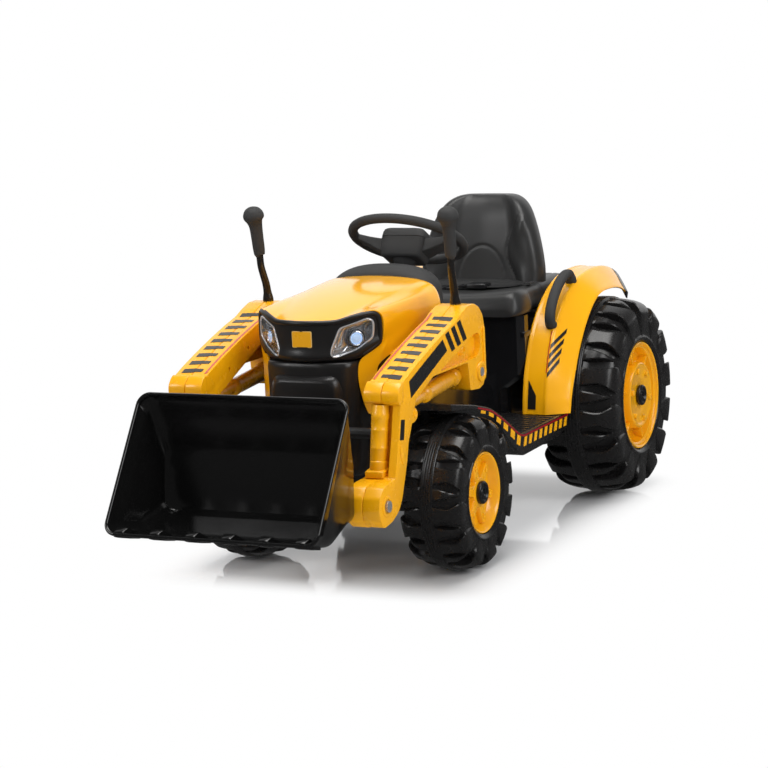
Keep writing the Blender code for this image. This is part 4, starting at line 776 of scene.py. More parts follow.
dome = lamp_turned(((0.0, 0.0096), (0.0050, 0.0090), (0.0082, 0.0068), (0.0098, 0.0036), (0.0102, 0.0)),
                   lamp_spot(0.0755, 0.4125, 0.0120))
cover = stitched([lamp_loop(0.985, -0.0004), lamp_loop(0.985, -0.0030), lamp_loop(0.955, -0.0048),
                  lamp_loop(0.86, -0.0056), lamp_loop(0.5, -0.0062), [lamp_spot(0.078, 0.415, -0.0064)]])
cover = worked(cover, ("SOLIDIFY", {"thickness": 0.0010, "offset": -1.0}))
frame_path = lamp_loop(0.955, -0.0034)
edge = sweep(frame_path, [(0.0021 * math.cos(a), 0.0023 * math.sin(a)) for a in turns(10)])
pair(("lamp_bowl", joined(bowl, collar, *flutes), chrome, "chrome", "headlamp_bowl"),
     ("lamp_reflector", second, chrome, "chrome"),
     ("lamp_shade", shade, lamp_dark, "black_mask"),
     ("lamp_bulb", dome, bulb_glow, "clear_lens"),
     ("lamp_lens", cover, lens_clear, "clear_lens", "headlamp_lens"),
     ("lamp_rim", edge, lens_rim, "chrome"))


# Hood: a one-piece glossy yellow shell. A flat middle runs back from the notch between the
# lamps, brows rise over them, and a cheek hooks down each side of the nose.
def facing_up(mesh):
    """A mesh with its faces turned so that most of them look up."""
    if sum(polygon.normal.z * polygon.area for polygon in mesh.polygons) < 0:
        mesh.flip_normals()
    return mesh


hood_yellow = plastic("hood_yellow", YELLOW, YELLOW_SHADE, 0.18, sink=0.0005, coat=0.35)
HOOD_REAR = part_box("hood")[1].y
HOOD_FRONT_EDGE = ((0.0, 0.4446), (0.018, 0.4446), (0.036, 0.4446), (0.050, 0.4447), (0.0585, 0.4451),
                   (0.0640, 0.4468), (0.0760, 0.4512), (0.0900, 0.4558), (0.1010, 0.4592), (0.1085, 0.4578),
                   (0.1138, 0.4520), (0.1162, 0.4440), (0.1170, 0.4330), (0.1165, 0.4180), (0.1150, 0.4040))
HOOD_REAR_EDGE = ((0.0, 0.4842), (0.024, 0.4838), (0.048, 0.4826), (0.070, 0.4804), (0.0880, 0.4772),
                  (0.0960, 0.4745), (0.1030, 0.4710), (0.1080, 0.4672), (0.1120, 0.4620), (0.1145, 0.4570),
                  (0.1165, 0.4520), (0.1182, 0.4460), (0.1192, 0.4400), (0.1197, 0.4350), (0.1199, 0.4315))
HOOD_COLUMNS = (0.0, 0.012, 0.030, 0.055, 0.085, 0.13, 0.19, 0.26, 0.34, 0.43, 0.53, 0.64, 0.76, 0.88, 1.0)
CHEEK_COLUMNS = 5
rows = []
for (x0, z0), (x1, z1) in zip(HOOD_FRONT_EDGE, HOOD_REAR_EDGE):
    row = []
    y0 = nose_at(x0) - 0.0005
    for t in HOOD_COLUMNS:
        rise = 1 - (1 - t) ** 2
        spread = t if x0 < 0.10 else min(1.0, 2.6 * t - 1.69 * t * t if t < 0.77 else 1.0)
        y = y0 + (HOOD_REAR - y0) * t
        row.append((x0 + (x1 - x0) * spread, y, z0 + (z1 - z0) * rise))
    rows.append(row)
EDGE_BACK = ((-0.250, 0.1186, 0.3790), (-0.225, 0.1196, 0.3838), (-0.195, 0.1198, 0.3895),
             (-0.160, 0.1199, 0.3970), (-0.125, 0.1199, 0.4050), (-0.095, 0.1199, 0.4120),
             (-0.070, 0.1199, 0.4172), (-0.050, 0.1199, 0.4218), (HOOD_REAR, 0.1199, 0.4255))
CHEEK_TOP = (((0.1060, 0.3935), (0.1090, 0.3925), (0.1120, 0.3920), (0.1150, 0.3930), (0.1170, 0.3950)),
             ((0.0950, 0.3850), (0.1000, 0.3830), (0.1055, 0.3812), (0.1100, 0.3810), (0.1135, 0.3830)),
             ((0.0870, 0.3785), (0.0925, 0.3740), (0.0985, 0.3700), (0.1045, 0.3680), (0.1095, 0.3690)))
for k, front in enumerate(CHEEK_TOP):
    share = (k + 1) / 3
    row = [(x, nose_at(x) - 0.0005, z) for x, z in front]
    above = rows[len(HOOD_FRONT_EDGE) - 1]
    for (y, x, z), (ax, ay, az) in zip(EDGE_BACK, above[CHEEK_COLUMNS:]):
        back = Vector((ax, ay, az)).lerp(Vector((x, y, z)), share)
        row.append(tuple(back))
    row.append(row[-1])
    rows.append(row[:len(HOOD_COLUMNS)])
CHEEK_LOW = (((0.0835, 0.3690), (0.0890, 0.3660), (0.0950, 0.3625), (0.1010, 0.3600), (0.1065, 0.3590)),
             ((0.0822, 0.3500), (0.0880, 0.3500), (0.0945, 0.3500), (0.1010, 0.3500), (0.1062, 0.3490)),
             ((0.0850, 0.3250), (0.0900, 0.3250), (0.0960, 0.3250), (0.1018, 0.3250), (0.1064, 0.3240)),
             ((0.0895, 0.3000), (0.0935, 0.2990), (0.0985, 0.2985), (0.1030, 0.2985), (0.1066, 0.2990)),
             ((0.0940, 0.2860), (0.0965, 0.2840), (0.1000, 0.2832), (0.1035, 0.2836), (0.1062, 0.2860)))
cheek = [[(x, nose_at(x) - 0.0005, z) for x, z in front] for front in CHEEK_LOW]
cheek.insert(0, rows[-1][:CHEEK_COLUMNS])
half_hood = joined(stitched(rows, closed=False), stitched(cheek, closed=False))
shape = bmesh.new()
shape.from_mesh(joined(half_hood, mirrored(half_hood)))
hood = worked(facing_up(finished(shape, 0.0001)),
              ("SUBSURF", {"levels": 2, "render_levels": 2, "boundary_smooth": "PRESERVE_CORNERS"}),
              ("SOLIDIFY", {"thickness": 0.0034, "offset": -1.0}))
piece("hood_shell", bevelled(hood, 0.0010, 2, 50), hood_yellow, "chassis", "yellow_plastic", "hood",
      smooth=60)
lip_line = [(0.1202, y, z + 0.0010) for y, _, z in EDGE_BACK]
lip = sweep(rounded(lip_line, 0.02, 3, closed=False),
            [(0.0016 * math.cos(a), 0.0016 * math.sin(a)) for a in turns(8)], up=(1, 0, 0), closed=False)
pair(("hood_lip", lip, hood_yellow, "yellow_plastic"))


# Dash cowl: an arched matt-black cover clipped behind the hood, with a collar where the
# steering column comes out and a ring round the power switch on its rear face.
soft_black = bpy.data.materials["soft_black"]
button_red = plastic("button_red", (0.42, 0.010, 0.008), (0.36, 0.008, 0.006), 0.30)
dash_low, dash_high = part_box("dash_cowl")
DASH_TOP = dash_high.z
DASH_STATIONS = ((HOOD_REAR + 0.0006, 0.0975, -0.0250), (HOOD_REAR + 0.0030, 0.1000, -0.0150),
                 (HOOD_REAR + 0.0090, 0.1015, -0.0080), (HOOD_REAR + 0.0220, 0.1010, -0.0020),
                 (HOOD_REAR + 0.0400, 0.0990, -0.0002), (dash_high.y - 0.058, 0.0935, -0.0050),
                 (dash_high.y - 0.044, 0.0880, -0.0190), (dash_high.y - 0.018, 0.0780, -0.0260),
                 (dash_high.y - 0.004, 0.0700, -0.0370), (dash_high.y, 0.0655, -0.0440))
rows = []
for k in range(37):
    y, half, drop = between(DASH_STATIONS, k / 36)
    top = DASH_TOP + drop
    arch = []
    for i in range(33):
        a = math.pi * i / 32
        bulge = abs(math.cos(a)) ** 0.82
        arch.append((math.copysign(half * bulge, math.cos(a)), y, top - 0.045 * (1 - math.sin(a) ** 0.9)))
    rows.append([(half, y, dash_low.z)] + arch + [(-half, y, dash_low.z)])
cowl = bevelled(stitched(rows, capped=True), 0.0012, 2, 40)
WHEEL_TILT = math.radians(28)
WHEEL_HUB = Vector((0.0, 0.103, 0.533))
COLUMN = Vector((0, math.sin(WHEEL_TILT), math.cos(WHEEL_TILT)))


def column_frame(points):
    """Places (across, down, up) points of the steering wheel in the object's frame."""
    down = Vector((0, math.cos(WHEEL_TILT), -math.sin(WHEEL_TILT)))
    return [WHEEL_HUB + Vector((1, 0, 0)) * u + down * v + COLUMN * w for u, v, w in points]


def round_rings(*rings, capped=False):
    """A shape round the steering column, from the radii and heights of its rings."""
    return stitched([column_frame([(radius * math.cos(a), radius * math.sin(a), up) for a in turns(40)])
                     for radius, up in rings], capped=capped)


collar = round_rings((0.0095, -0.0720), (0.0175, -0.0720), (0.0165, -0.0600), (0.0120, -0.0570),
                     (0.0085, -0.0575), (0.0085, -0.0720))
button_low, button_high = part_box("power_button")
button_at = (button_low + button_high) / 2
bezel = lathe(((0.0, 0.0100), (0.0, 0.0138), (0.0016, 0.0140), (0.0030, 0.0130), (0.0032, 0.0112),
               (0.0022, 0.0100), (0.0, 0.0100)), 40)
bezel.transform(Matrix.Rotation(math.radians(90), 4, "Z"))
moved(bezel, (button_at.x, dash_high.y - 0.0008, button_at.z))
piece("dash_cover", joined(cowl, collar, bezel), soft_black, "chassis", "soft_black", "dash_cowl", smooth=40)
dress(button_red, "power_button")
dress(soft_black, "horn_button")


# Steering wheel: a thick rim and two wide spokes moulded round a box-shaped hub pad, with a
# seam where its cover meets the body and a cone down to the column.
RIM_RADIUS = 0.101
rows = []
for a in turns(112):
    grip = 0.0004 * math.sin(9 * a) ** 8
    ring = []
    for b in turns(20):
        reach = RIM_RADIUS + (0.0090 - grip) * math.cos(b)
        ring.append((reach * math.cos(a), reach * math.sin(a), 0.0088 * math.sin(b)))
    rows.append(column_frame(ring))
wheel_rim = stitched(rows + rows[:1])
spokes = []
for side in (1, -1):
    rows = []
    for u, half, low, high in ((0.034, 0.0200, -0.0330, -0.0060), (0.052, 0.0170, -0.0250, -0.0030),
                               (0.070, 0.0150, -0.0160, 0.0004), (0.086, 0.0160, -0.0090, 0.0034),
                               (0.0985, 0.0205, -0.0060, 0.0050)):
        section = rounded([(-half, low), (half, low), (half, high), (half * 0.55, high - 0.0022),
                           (-half * 0.55, high - 0.0022), (-half, high)], 0.003, 3)
        rows.append(column_frame([(side * u, v, w) for v, w in section]))
    spokes.append(stitched(rows, capped=True))
rows = []
for up, share in ((-0.0420, 0.78), (-0.0408, 0.85), (-0.0370, 0.91), (-0.0200, 0.985), (-0.0066, 1.0),
                  (-0.0060, 0.978), (-0.0048, 0.978), (-0.0042, 0.998), (0.0050, 0.975), (0.0098, 0.93),
                  (0.0116, 0.87), (0.0120, 0.78)):
    pad = rounded([(-0.042, -0.026), (-0.030, -0.031), (0.030, -0.031), (0.042, -0.026), (0.042, 0.022),
                   (0.034, 0.031), (-0.034, 0.031), (-0.042, 0.022)], 0.006, 3)
    rows.append(column_frame([(u * share, v * share, up) for u, v in pad]))
pad = carved(stitched(rows, capped=True), round_rings((0.0158, 0.0040), (0.0158, 0.030), capped=True))
cone = round_rings((0.0075, -0.0530), (0.0135, -0.0534), (0.0155, -0.0520), (0.0180, -0.0470),
                   (0.0220, -0.0410), (0.0240, -0.0390), capped=True)
piece("steering_wheel_rim", joined(wheel_rim, pad, cone, *spokes), soft_black, "steering", "soft_black",
      "steering_wheel", smooth=35)


# Footboards: black moulded steps bolted to the tunnel, high over the front wheels and flat in
# front of the seat box, where ribs keep the feet from slipping. A red line and yellow dashes
# edge their outer sides.
FRONT_AXLE_Y = axles["front"].y
WHEELBASE = axles["rear"].y - FRONT_AXLE_Y
board_black = plastic("board_black", (0.017, 0.016, 0.016), (0.011, 0.010, 0.010), 0.27, sink=0.0003)
line_red = plastic("line_red", (0.30, 0.008, 0.014), (0.26, 0.006, 0.012), 0.24)
dash_yellow = plastic("dash_yellow", YELLOW, YELLOW_SHADE, 0.24)
BOARD_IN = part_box("footboard_left")[0].x
BOARD_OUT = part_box("footboard_left")[1].x
BOARD_TOP = 0.190
BOARD_END = WHEELBASE - 0.2025
RIBS = 9
RIB_PITCH = (BOARD_END - 0.300) / RIBS
RIB_START = FRONT_AXLE_Y + 0.246
RIB_WIDE = 0.6 * RIB_PITCH
LABEL_X = BOARD_OUT + 0.0001
LABEL_HALF = 0.0003


def from_axle(points):
    """(y, z) points given from the front axle, in the object's frame."""
    return [(FRONT_AXLE_Y + y, z) for y, z in points]


def on_step(outline):
    """(y, z) points given from the first rib's front edge on the step's top."""
    return [(RIB_START + y, BOARD_TOP + z) for y, z in outline]


def board_label(outline):
    """A thin printed patch on the board's outer side."""
    return prism(outline, LABEL_X - LABEL_HALF, LABEL_X + LABEL_HALF)


board_top = rounded([(-0.070, 0.296), (0.020, 0.280), (0.095, 0.262), (0.150, 0.236), (0.232, BOARD_TOP),
                     (BOARD_END, BOARD_TOP)], 0.020, 5, closed=False)
board_under = rounded([(BOARD_END, 0.166), (BOARD_END - 0.0465, 0.153), (0.232, 0.150), (0.160, 0.200),
                       (0.126, 0.240), (0.072, 0.2645), (-0.070, 0.284)], 0.014, 5, closed=False)
board = prism(from_axle(board_top + board_under), BOARD_IN, BOARD_OUT)
seat_corner = BOX_FRONT - 0.0004
corner_cut = prism([(seat_corner + y, z) for y, z in ((0, 0.10), (0.12, 0.10), (0.12, 0.30), (0, 0.30))],
                   BOARD_IN - 0.02, BOX_HALF + 0.0004)
board = bevelled(carved(board, corner_cut), 0.0024, 3, 40)
rib = prism(on_step([(0.0, -0.0006), (0.0010, 0.0014), (0.0022, 0.0019), (RIB_WIDE - 0.0022, 0.0019),
                     (RIB_WIDE - 0.0010, 0.0014), (RIB_WIDE, -0.0006)]), BOX_HALF + 0.0030,
            BOARD_OUT - 0.0055)
short_rib = prism(on_step([(0.0, -0.0006), (0.0012, 0.0018), (RIB_WIDE - 0.0012, 0.0018),
                           (RIB_WIDE, -0.0006)]),
                  BOARD_IN + 0.006, BOX_HALF + 0.0040)
ribs = [copied(mesh, count, board_black, (0.0, RIB_PITCH, 0.0))
        for mesh, count in ((rib, RIBS), (short_rib, 2))]
EDGE_LINE = [(FRONT_AXLE_Y + y, z - 0.0032) for y, z in
             rounded([(0.040, 0.2752), (0.095, 0.262), (0.150, 0.236), (0.232, BOARD_TOP),
                      (BOARD_END - 0.003, BOARD_TOP)], 0.020, 5, closed=False)]
red_line = stitched([[(LABEL_X + x, y, z + up) for x, up in
                      ((-LABEL_HALF, 0.0006), (LABEL_HALF, 0.0006), (LABEL_HALF, -0.0028),
                       (-LABEL_HALF, -0.0028))]
                     for y, z in EDGE_LINE], capped=True)
FLAT_DASHES = 9
FLAT_DASH_STEP = 0.0250
flat_dash = board_label(on_step([(0.0, -0.0072), (0.0125, -0.0072), (0.0065, -0.0232), (-0.0060, -0.0232)]))
dashes = [copied(flat_dash, FLAT_DASHES, dash_yellow, (0.0, FLAT_DASH_STEP, 0.0))]
SLOPE_DASHES = ((0.053, 0.073, 0.0050), (0.088, 0.108, 0.0062), (0.122, 0.140, 0.0085),
                (0.153, 0.171, 0.0105), (0.184, 0.202, 0.0130), (0.213, 0.228, 0.0160))
for first, last, high in SLOPE_DASHES:
    corners = []
    for y in (first, last):
        for (y0, z0), (y1, z1) in zip(EDGE_LINE, EDGE_LINE[1:]):
            if y0 <= FRONT_AXLE_Y + y <= y1:
                z = z0 + (z1 - z0) * (FRONT_AXLE_Y + y - y0) / (y1 - y0)
                corners.append((FRONT_AXLE_Y + y, z - 0.0040))
    (ya, za), (yb, zb) = corners
    drop = [(yb - 0.30 * high, zb - high), (ya - 0.30 * high, za - high)]
    dashes.append(board_label(corners + drop))
pair(("footboard_step", joined(board, *ribs), board_black, "footboard_black", "footboard"),
     ("footboard_line", red_line, line_red, "footboard_black"),
     ("footboard_dashes", joined(*dashes), dash_yellow, "yellow_plastic"))
dress(trim_black, "accelerator_pedal")


# Fenders: glossy yellow shells screwed to the seat box, arched over the inner half of the rear
# tyres. A bead runs up the inner edge, and past a soft embossed line the outer part turns down.
fender_yellow = plastic("fender_yellow", YELLOW, YELLOW_SHADE, 0.22, sink=0.0004, coat=0.2)
INNER_LINE = ((0.4155, 0.1915), (0.4170, 0.205), (0.4205, 0.228), (0.4330, 0.272), (0.4680, 0.338),
              (0.5240, 0.388), (0.5890, 0.4185), (0.6500, 0.4295), (0.7150, 0.4310), (0.7680, 0.4240),
              (0.8060, 0.4110))
OUTER_LINE = ((0.4420, 0.1915), (0.4460, 0.205), (0.4520, 0.222), (0.4670, 0.252), (0.5000, 0.303),
              (0.5380, 0.345), (0.5800, 0.377), (0.6240, 0.394), (0.6860, 0.3960), (0.7350, 0.3900),
              (0.7690, 0.3780))
FENDER_SECTION = ((0.1506, 0.0, -0.0010), (0.1508, 0.0, 0.0006), (0.1522, 0.0, 0.0014),
                  (0.1556, 0.0, 0.0014), (0.1574, 0.0, 0.0002), (0.1600, 0.0, 0.0), (0.1700, 0.0, 0.0),
                  (0.1800, 0.0, 0.0), (0.1880, 0.0, 0.0), (0.1920, 0.0, 0.0002), (0.1945, 0.0, 0.0013),
                  (0.1975, 0.015, 0.0016), (0.2005, 0.060, 0.0010), (0.2045, 0.140, 0.0),
                  (0.2110, 0.310, 0.0), (0.2180, 0.520, 0.0), (0.2250, 0.740, 0.0), (0.2305, 0.900, 0.0),
                  (0.2338, 0.975, -0.0004), (0.2350, 1.0, -0.0022))
AXLE_REAR = axles["rear"]


def fender_point(x, blend_by, lift, along):
    """A point of the left fender's skin, at a share of the way along its arch."""
    iy, iz = between(INNER_LINE, along)
    oy, oz = between(OUTER_LINE, along)
    point = Vector((x, FRONT_AXLE_Y + iy + (oy - iy) * blend_by, iz + (oz - iz) * blend_by))
    out = Vector((0, point.y - AXLE_REAR.y, point.z - AXLE_REAR.z)).normalized()
    return point + out * lift


FENDER_STEPS = 64
columns = [[fender_point(x, blend_by, lift, k / FENDER_STEPS) for k in range(FENDER_STEPS + 1)]
           for x, blend_by, lift in FENDER_SECTION]
fender = worked(facing_up(stitched(columns, closed=False)),
                ("SOLIDIFY", {"thickness": 0.0034, "offset": -1.0}))
fender = bevelled(fender, 0.0008, 2, 50)
trim_rows = []
for x, blend_by, lift in FENDER_SECTION[1::2] + FENDER_SECTION[-1:]:
    end = fender_point(x, blend_by, lift, 1.0)
    ahead = (end - fender_point(x, blend_by, lift, 0.97)).normalized()
    inwards = Vector((0, AXLE_REAR.y - end.y, AXLE_REAR.z - end.z)).normalized()
    trim_rows.append([end - ahead * 0.0140 + inwards * -0.0012, end + ahead * 0.0090 + inwards * -0.0012,
                      end + ahead * 0.0108 + inwards * 0.0006, end + ahead * 0.0108 + inwards * 0.0125,
                      end + ahead * 0.0010 + inwards * 0.0125, end - ahead * 0.0004 + inwards * 0.0006,
                      end - ahead * 0.0140 + inwards * 0.0002])
trim = bevelled(stitched(trim_rows, capped=True), 0.0008, 2, 50)


def on_fender(x, rise):
    """The left fender's skin at a distance from the centre line and a height above the ground."""
    for (xa, ba, la), (xb, bb, lb) in zip(FENDER_SECTION[1:], FENDER_SECTION[2:]):
        if xa <= x <= xb:
            t = (x - xa) / (xb - xa)
            blend_by, lift = ba + (bb - ba) * t, la + (lb - la) * t
            break
    low, high = 0.0, 0.7
    for _ in range(24):
        middle = (low + high) / 2
        if fender_point(x, blend_by, lift, middle).z < rise:
            low = middle
        else:
            high = middle
    point = fender_point(x, blend_by, lift, low)
    out = Vector((0.25 if x > 0.1985 else 0.0, point.y - AXLE_REAR.y, point.z - AXLE_REAR.z)).normalized()
    return point, out


def fender_label(corners, across=4):
    """A thin label that follows the fender between four (x, height) corners."""
    rows = []
    for k in range(9):
        t = k / 8
        (xa, za), (xb, zb) = [(a[0] + (b[0] - a[0]) * t, a[1] + (b[1] - a[1]) * t)
                              for a, b in ((corners[0], corners[3]), (corners[1], corners[2]))]
        row = [on_fender(xa + (xb - xa) * i / across, za + (zb - za) * i / across)
               for i in range(across + 1)]
        rows.append([point + out * 0.0007 for point, out in row] + [point for point, out in row[::-1]])
    return stitched(rows, capped=True)


label_black = plastic("label_black", (0.012, 0.012, 0.012), (0.009, 0.009, 0.009), 0.28)
label_red = plastic("label_red", (0.50, 0.020, 0.012), (0.45, 0.016, 0.010), 0.28)
fender_line = fender_label([(0.1930, 0.3400), (0.1948, 0.3404), (0.1958, 0.2680), (0.1940, 0.2676)])
stripes = []
for shift in (0.0, -0.0165, -0.0330, -0.0495):
    wide = 0.0172 + 0.04 * shift
    stripes.append(fender_label([(0.1966 + wide, 0.3420 + shift), (0.1966 + wide, 0.3330 + shift),
                                 (0.1966, 0.3085 + shift), (0.1966, 0.3175 + shift)], 10))
wedge = fender_label([(0.1612, 0.2530), (0.1618, 0.2530), (0.1770, 0.2260), (0.1612, 0.2260)])
block = fender_label([(0.1612, 0.2260), (0.1770, 0.2260), (0.1765, 0.2010), (0.1612, 0.2010)])
pair(("fender_shell", fender, fender_yellow, "yellow_plastic", "fender"),
     ("fender_tail", trim, trim_black, "black_trim", "tail_trim"),
     ("fender_line", fender_line, label_red, "yellow_plastic"),
     ("fender_marks", joined(wedge, block, *stripes), label_black, "black_trim"), smooth=40)


# Grab handles: rubber-covered steel loops, screwed through the fenders from below, with a
# flattened oval grip.
HANDLE_X = (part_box("grab_handle_left")[0].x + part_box("grab_handle_left")[1].x) / 2 + 0.002


def slope_point(y, lift):
    """A point over the fender's slope, at a distance back from the front axle."""
    near = min((abs(between(INNER_LINE, k / 200)[0] - y), k / 200) for k in range(201))[1]
    a, b = Vector(between(INNER_LINE, near)), Vector(between(INNER_LINE, min(near + 0.01, 1.0)))
    ahead = (b - a).normalized()
    return Vector((HANDLE_X, FRONT_AXLE_Y + a.x - ahead.y * lift, a.y + ahead.x * lift))


handle_path = [slope_point(WHEELBASE + y, lift) for y, lift in
               ((-0.191, 0.0006), (-0.1915, 0.010), (-0.187, 0.019), (-0.176, 0.0255), (-0.155, 0.0300),
                (-0.130, 0.0305), (-0.108, 0.0285), (-0.094, 0.0235), (-0.086, 0.015), (-0.0835, 0.0006))]
handle_path = [Vector(between(handle_path, k / 44)) for k in range(45)]
GRIP_SECTION = [(0.0098 * math.copysign(abs(math.cos(a)) ** 0.8, math.cos(a)),
                 0.0076 * math.copysign(abs(math.sin(a)) ** 0.8, math.sin(a)))
                for a in turns(20)]
rows = []
for i, point in enumerate(handle_path):
    ahead = handle_path[min(i + 1, 44)] - handle_path[max(i - 1, 0)]
    outwards = ahead.cross(Vector((1, 0, 0))).normalized()
    fuller = 1.10 if i < 4 or i > 40 else 1.0
    rows.append([point + Vector((1, 0, 0)) * a * fuller + outwards * b * fuller for a, b in GRIP_SECTION])
grip = stitched(rows, capped=True)
pair(("grab_grip", grip, soft_black, "soft_black", "grab_handle"))


# Seat: a blow-moulded pan and backrest in satin black, screwed to the seat box. Pressed lines
# imitate upholstery: one along each side roll, and an arch low on the backrest.
seat_black = bpy.data.materials["seat_black"]
pan_low, pan_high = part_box("seat_base")
back_low, back_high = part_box("seat_back")


def evened(outline, count):
    """A closed outline's points set out again at equal steps."""
    points = [Vector(point) for point in outline]
    ends = points[1:] + points[:1]
    lengths = [(b - a).length for a, b in zip(points, ends)]
    step = sum(lengths) / count
    made, k, left = [], 0, 0.0
    for i in range(count):
        want = i * step
        while left + lengths[k] < want and k < len(points) - 1:
            left += lengths[k]
            k += 1
        share = (want - left) / lengths[k] if lengths[k] else 0.0
        made.append(points[k].lerp(ends[k], share))
    return made


def pressed(distance, width=0.0016, depth=0.0016):
    """Depth of a moulded groove at a distance from its line."""
    return depth * math.exp(-(distance / width) ** 2)


PAN_STATIONS = ((0.000, 0.16, 0.135, 0.001), (0.002, 0.34, 0.139, 0.002), (0.016, 0.60, 0.1435, 0.002),
                (0.040, 0.84, 0.1475, 0.003), (0.085, 0.965, 0.1500, 0.005), (0.150, 0.960, 0.1500, 0.007),
                (0.230, 0.925, 0.1470, 0.007), (0.300, 0.895, 0.1390, 0.007), (0.370, 0.880, 0.1370, 0.007),
                (0.440, 0.880, 0.1370, 0.005), (0.490, 0.905, 0.1370, 0.002), (0.525, 0.965, 0.1370, 0.0),
                (0.570, 0.995, 0.1370, 0.0), (0.780, 1.000, 0.1345, 0.0), (0.940, 0.985, 0.1320, 0.0),
                (1.000, 0.930, 0.1300, 0.0))
rows = []
for k in range(121):
    part, height, half, crown = between(PAN_STATIONS, k / 120)
    y = pan_low.y + (pan_high.y - pan_low.y) * min(max(part, 0.0), 1.0)
    top = pan_low.z + (pan_high.z - pan_low.z) * min(height, 1.0)
    deep = top - pan_low.z
    half_section = [(half * 0.965, pan_low.z), (half * 0.998, pan_low.z + 0.004),
                    (half, pan_low.z + 0.45 * deep), (half * 0.925, top + crown * 0.8),
                    (half * 0.72, top), (half * 0.30, top - crown)]
    section = rounded(half_section + [(-x, z) for x, z in half_section[::-1]], 0.016, 6)
    row = []
    for point in evened(section, 180):
        x, z = point
        if z > pan_low.z + 0.5 * deep:
            z -= pressed(abs(x) - half * 0.77) * (0.12 < part)
            z -= pressed(y - pan_low.y - 0.031, 0.0018, 0.0010) * (abs(x) < half * 0.9)
        row.append((x, y, max(z, pan_low.z)))
    rows.append(row)
piece("seat_pan", stitched(rows, capped=True), seat_black, "chassis", "seat_black", "seat_base", smooth=50)

BACK_STATIONS = ((0.0, 0.1270, 0.000, 1.0), (0.10, 0.1265, 0.002, 1.0), (0.20, 0.1250, 0.004, 1.0),
                 (0.38, 0.1195, 0.008, 1.0), (0.56, 0.1110, 0.014, 1.0), (0.74, 0.1000, 0.021, 0.97),
                 (0.86, 0.0890, 0.028, 0.90), (0.94, 0.0760, 0.0345, 0.76), (0.985, 0.0620, 0.0400, 0.56),
                 (1.0, 0.0500, 0.0435, 0.40))
ARCH_HALF = 0.050
ARCH_TOP = 0.070
back_face = BOX_FRONT + 0.164
rows = []
for k in range(111):
    part, half, lean, slim = between(BACK_STATIONS, k / 110)
    part = min(max(part, 0.0), 1.0)
    z = back_low.z + (back_high.z - back_low.z) * part
    y = back_face + lean
    half_section = [(0.0, y + 0.0075), (0.56, y + 0.0035), (0.76, y - 0.0130), (0.93, y - 0.0130),
                    (1.0, y + 0.006), (0.97, y + 0.038), (0.76, y + 0.055), (0.0, y + 0.062)]
    middle = y + 0.020
    ring = [(half * u, middle + (v - middle) * slim) for u, v in half_section]
    section = evened(rounded(ring + [(-x, v) for x, v in ring[-2:0:-1]], 0.013, 6), 168)
    row = []
    for x, v in section:
        if v < middle and abs(x) < half * 0.94:
            crease = 0.076 - 0.026 * math.sin(math.pi * min(part / 0.80, 1.0)) ** 1.5 * (1 - 0.3 * part)
            arch = math.hypot(x / ARCH_HALF, (z - back_low.z) / ARCH_TOP) - 1.0
            ending = min(1.0, max(0.0, (0.80 - part) / 0.08))
            v += pressed(abs(x) - crease, 0.0022, 0.0030) * ending
            v -= 0.0050 * math.exp(-((abs(x) - crease - 0.016) / 0.014) ** 2) * ending
            if abs(x) < crease:
                v += pressed(arch * 0.055, 0.0018, 0.0018)
                v += 0.0016 * max(0.0, 1.0 - max(arch + 1.0, 0.0)) ** 0.5
        row.append((x, v, z))
    rows.append(row)
piece("seat_backrest", stitched(rows, capped=True), seat_black, "chassis", "seat_black", "seat_back",
      smooth=50)


# Lap belt: a woven black strap laid across the pan, anchored under its sides, with a moulded
# buckle that holds the tongue of the short end.
BELT_WIDTH = 0.025
belt_y = pan_low.y + 0.41 * (pan_high.y - pan_low.y)
belt_black = shaded("belt_webbing", {"Base Color": (0.013, 0.013, 0.014, 1), "Roughness": 0.62})
cloth = belt_black.node_tree
threads = node(cloth, "ShaderNodeTexCoord").outputs["Object"]
weave = node(cloth, "ShaderNodeTexWave", {"Vector": threads, "Scale": 240.0}, bands_direction="DIAGONAL")
raised = node(cloth, "ShaderNodeBump", {"Height": weave.outputs["Fac"], "Distance": 0.0003})
cloth.links.new(raised.outputs["Normal"], cloth.nodes["Principled BSDF"].inputs["Normal"])


def pan_top(x):
    """Height of the seat pan's surface under the belt."""
    _, height, half, crown = between(PAN_STATIONS, 0.512)
    top = pan_low.z + (pan_high.z - pan_low.z) * height
    half_section = [(half, pan_low.z + 0.45 * (top - pan_low.z)), (half * 0.925, top + crown * 0.8),
                    (half * 0.72, top), (half * 0.30, top - crown), (0.0, top - crown)]
    for (xa, za), (xb, zb) in zip(half_section, half_section[1:]):
        if xb <= abs(x) <= xa:
            return za + (zb - za) * (xa - abs(x)) / (xa - xb)
    return top


def belt_block(x_from, x_to, half_from, half_to, low, high, soft, segments=2):
    """A moulded part on the belt, with its half width given at both ends."""
    corners = ((x_from, -half_from), (x_to, -half_to), (x_to, half_to), (x_from, half_from))
    return bevelled(stitched([[(x, belt_y + y, z) for x, y in corners] for z in (low, high)], capped=True),
                    soft, segments)


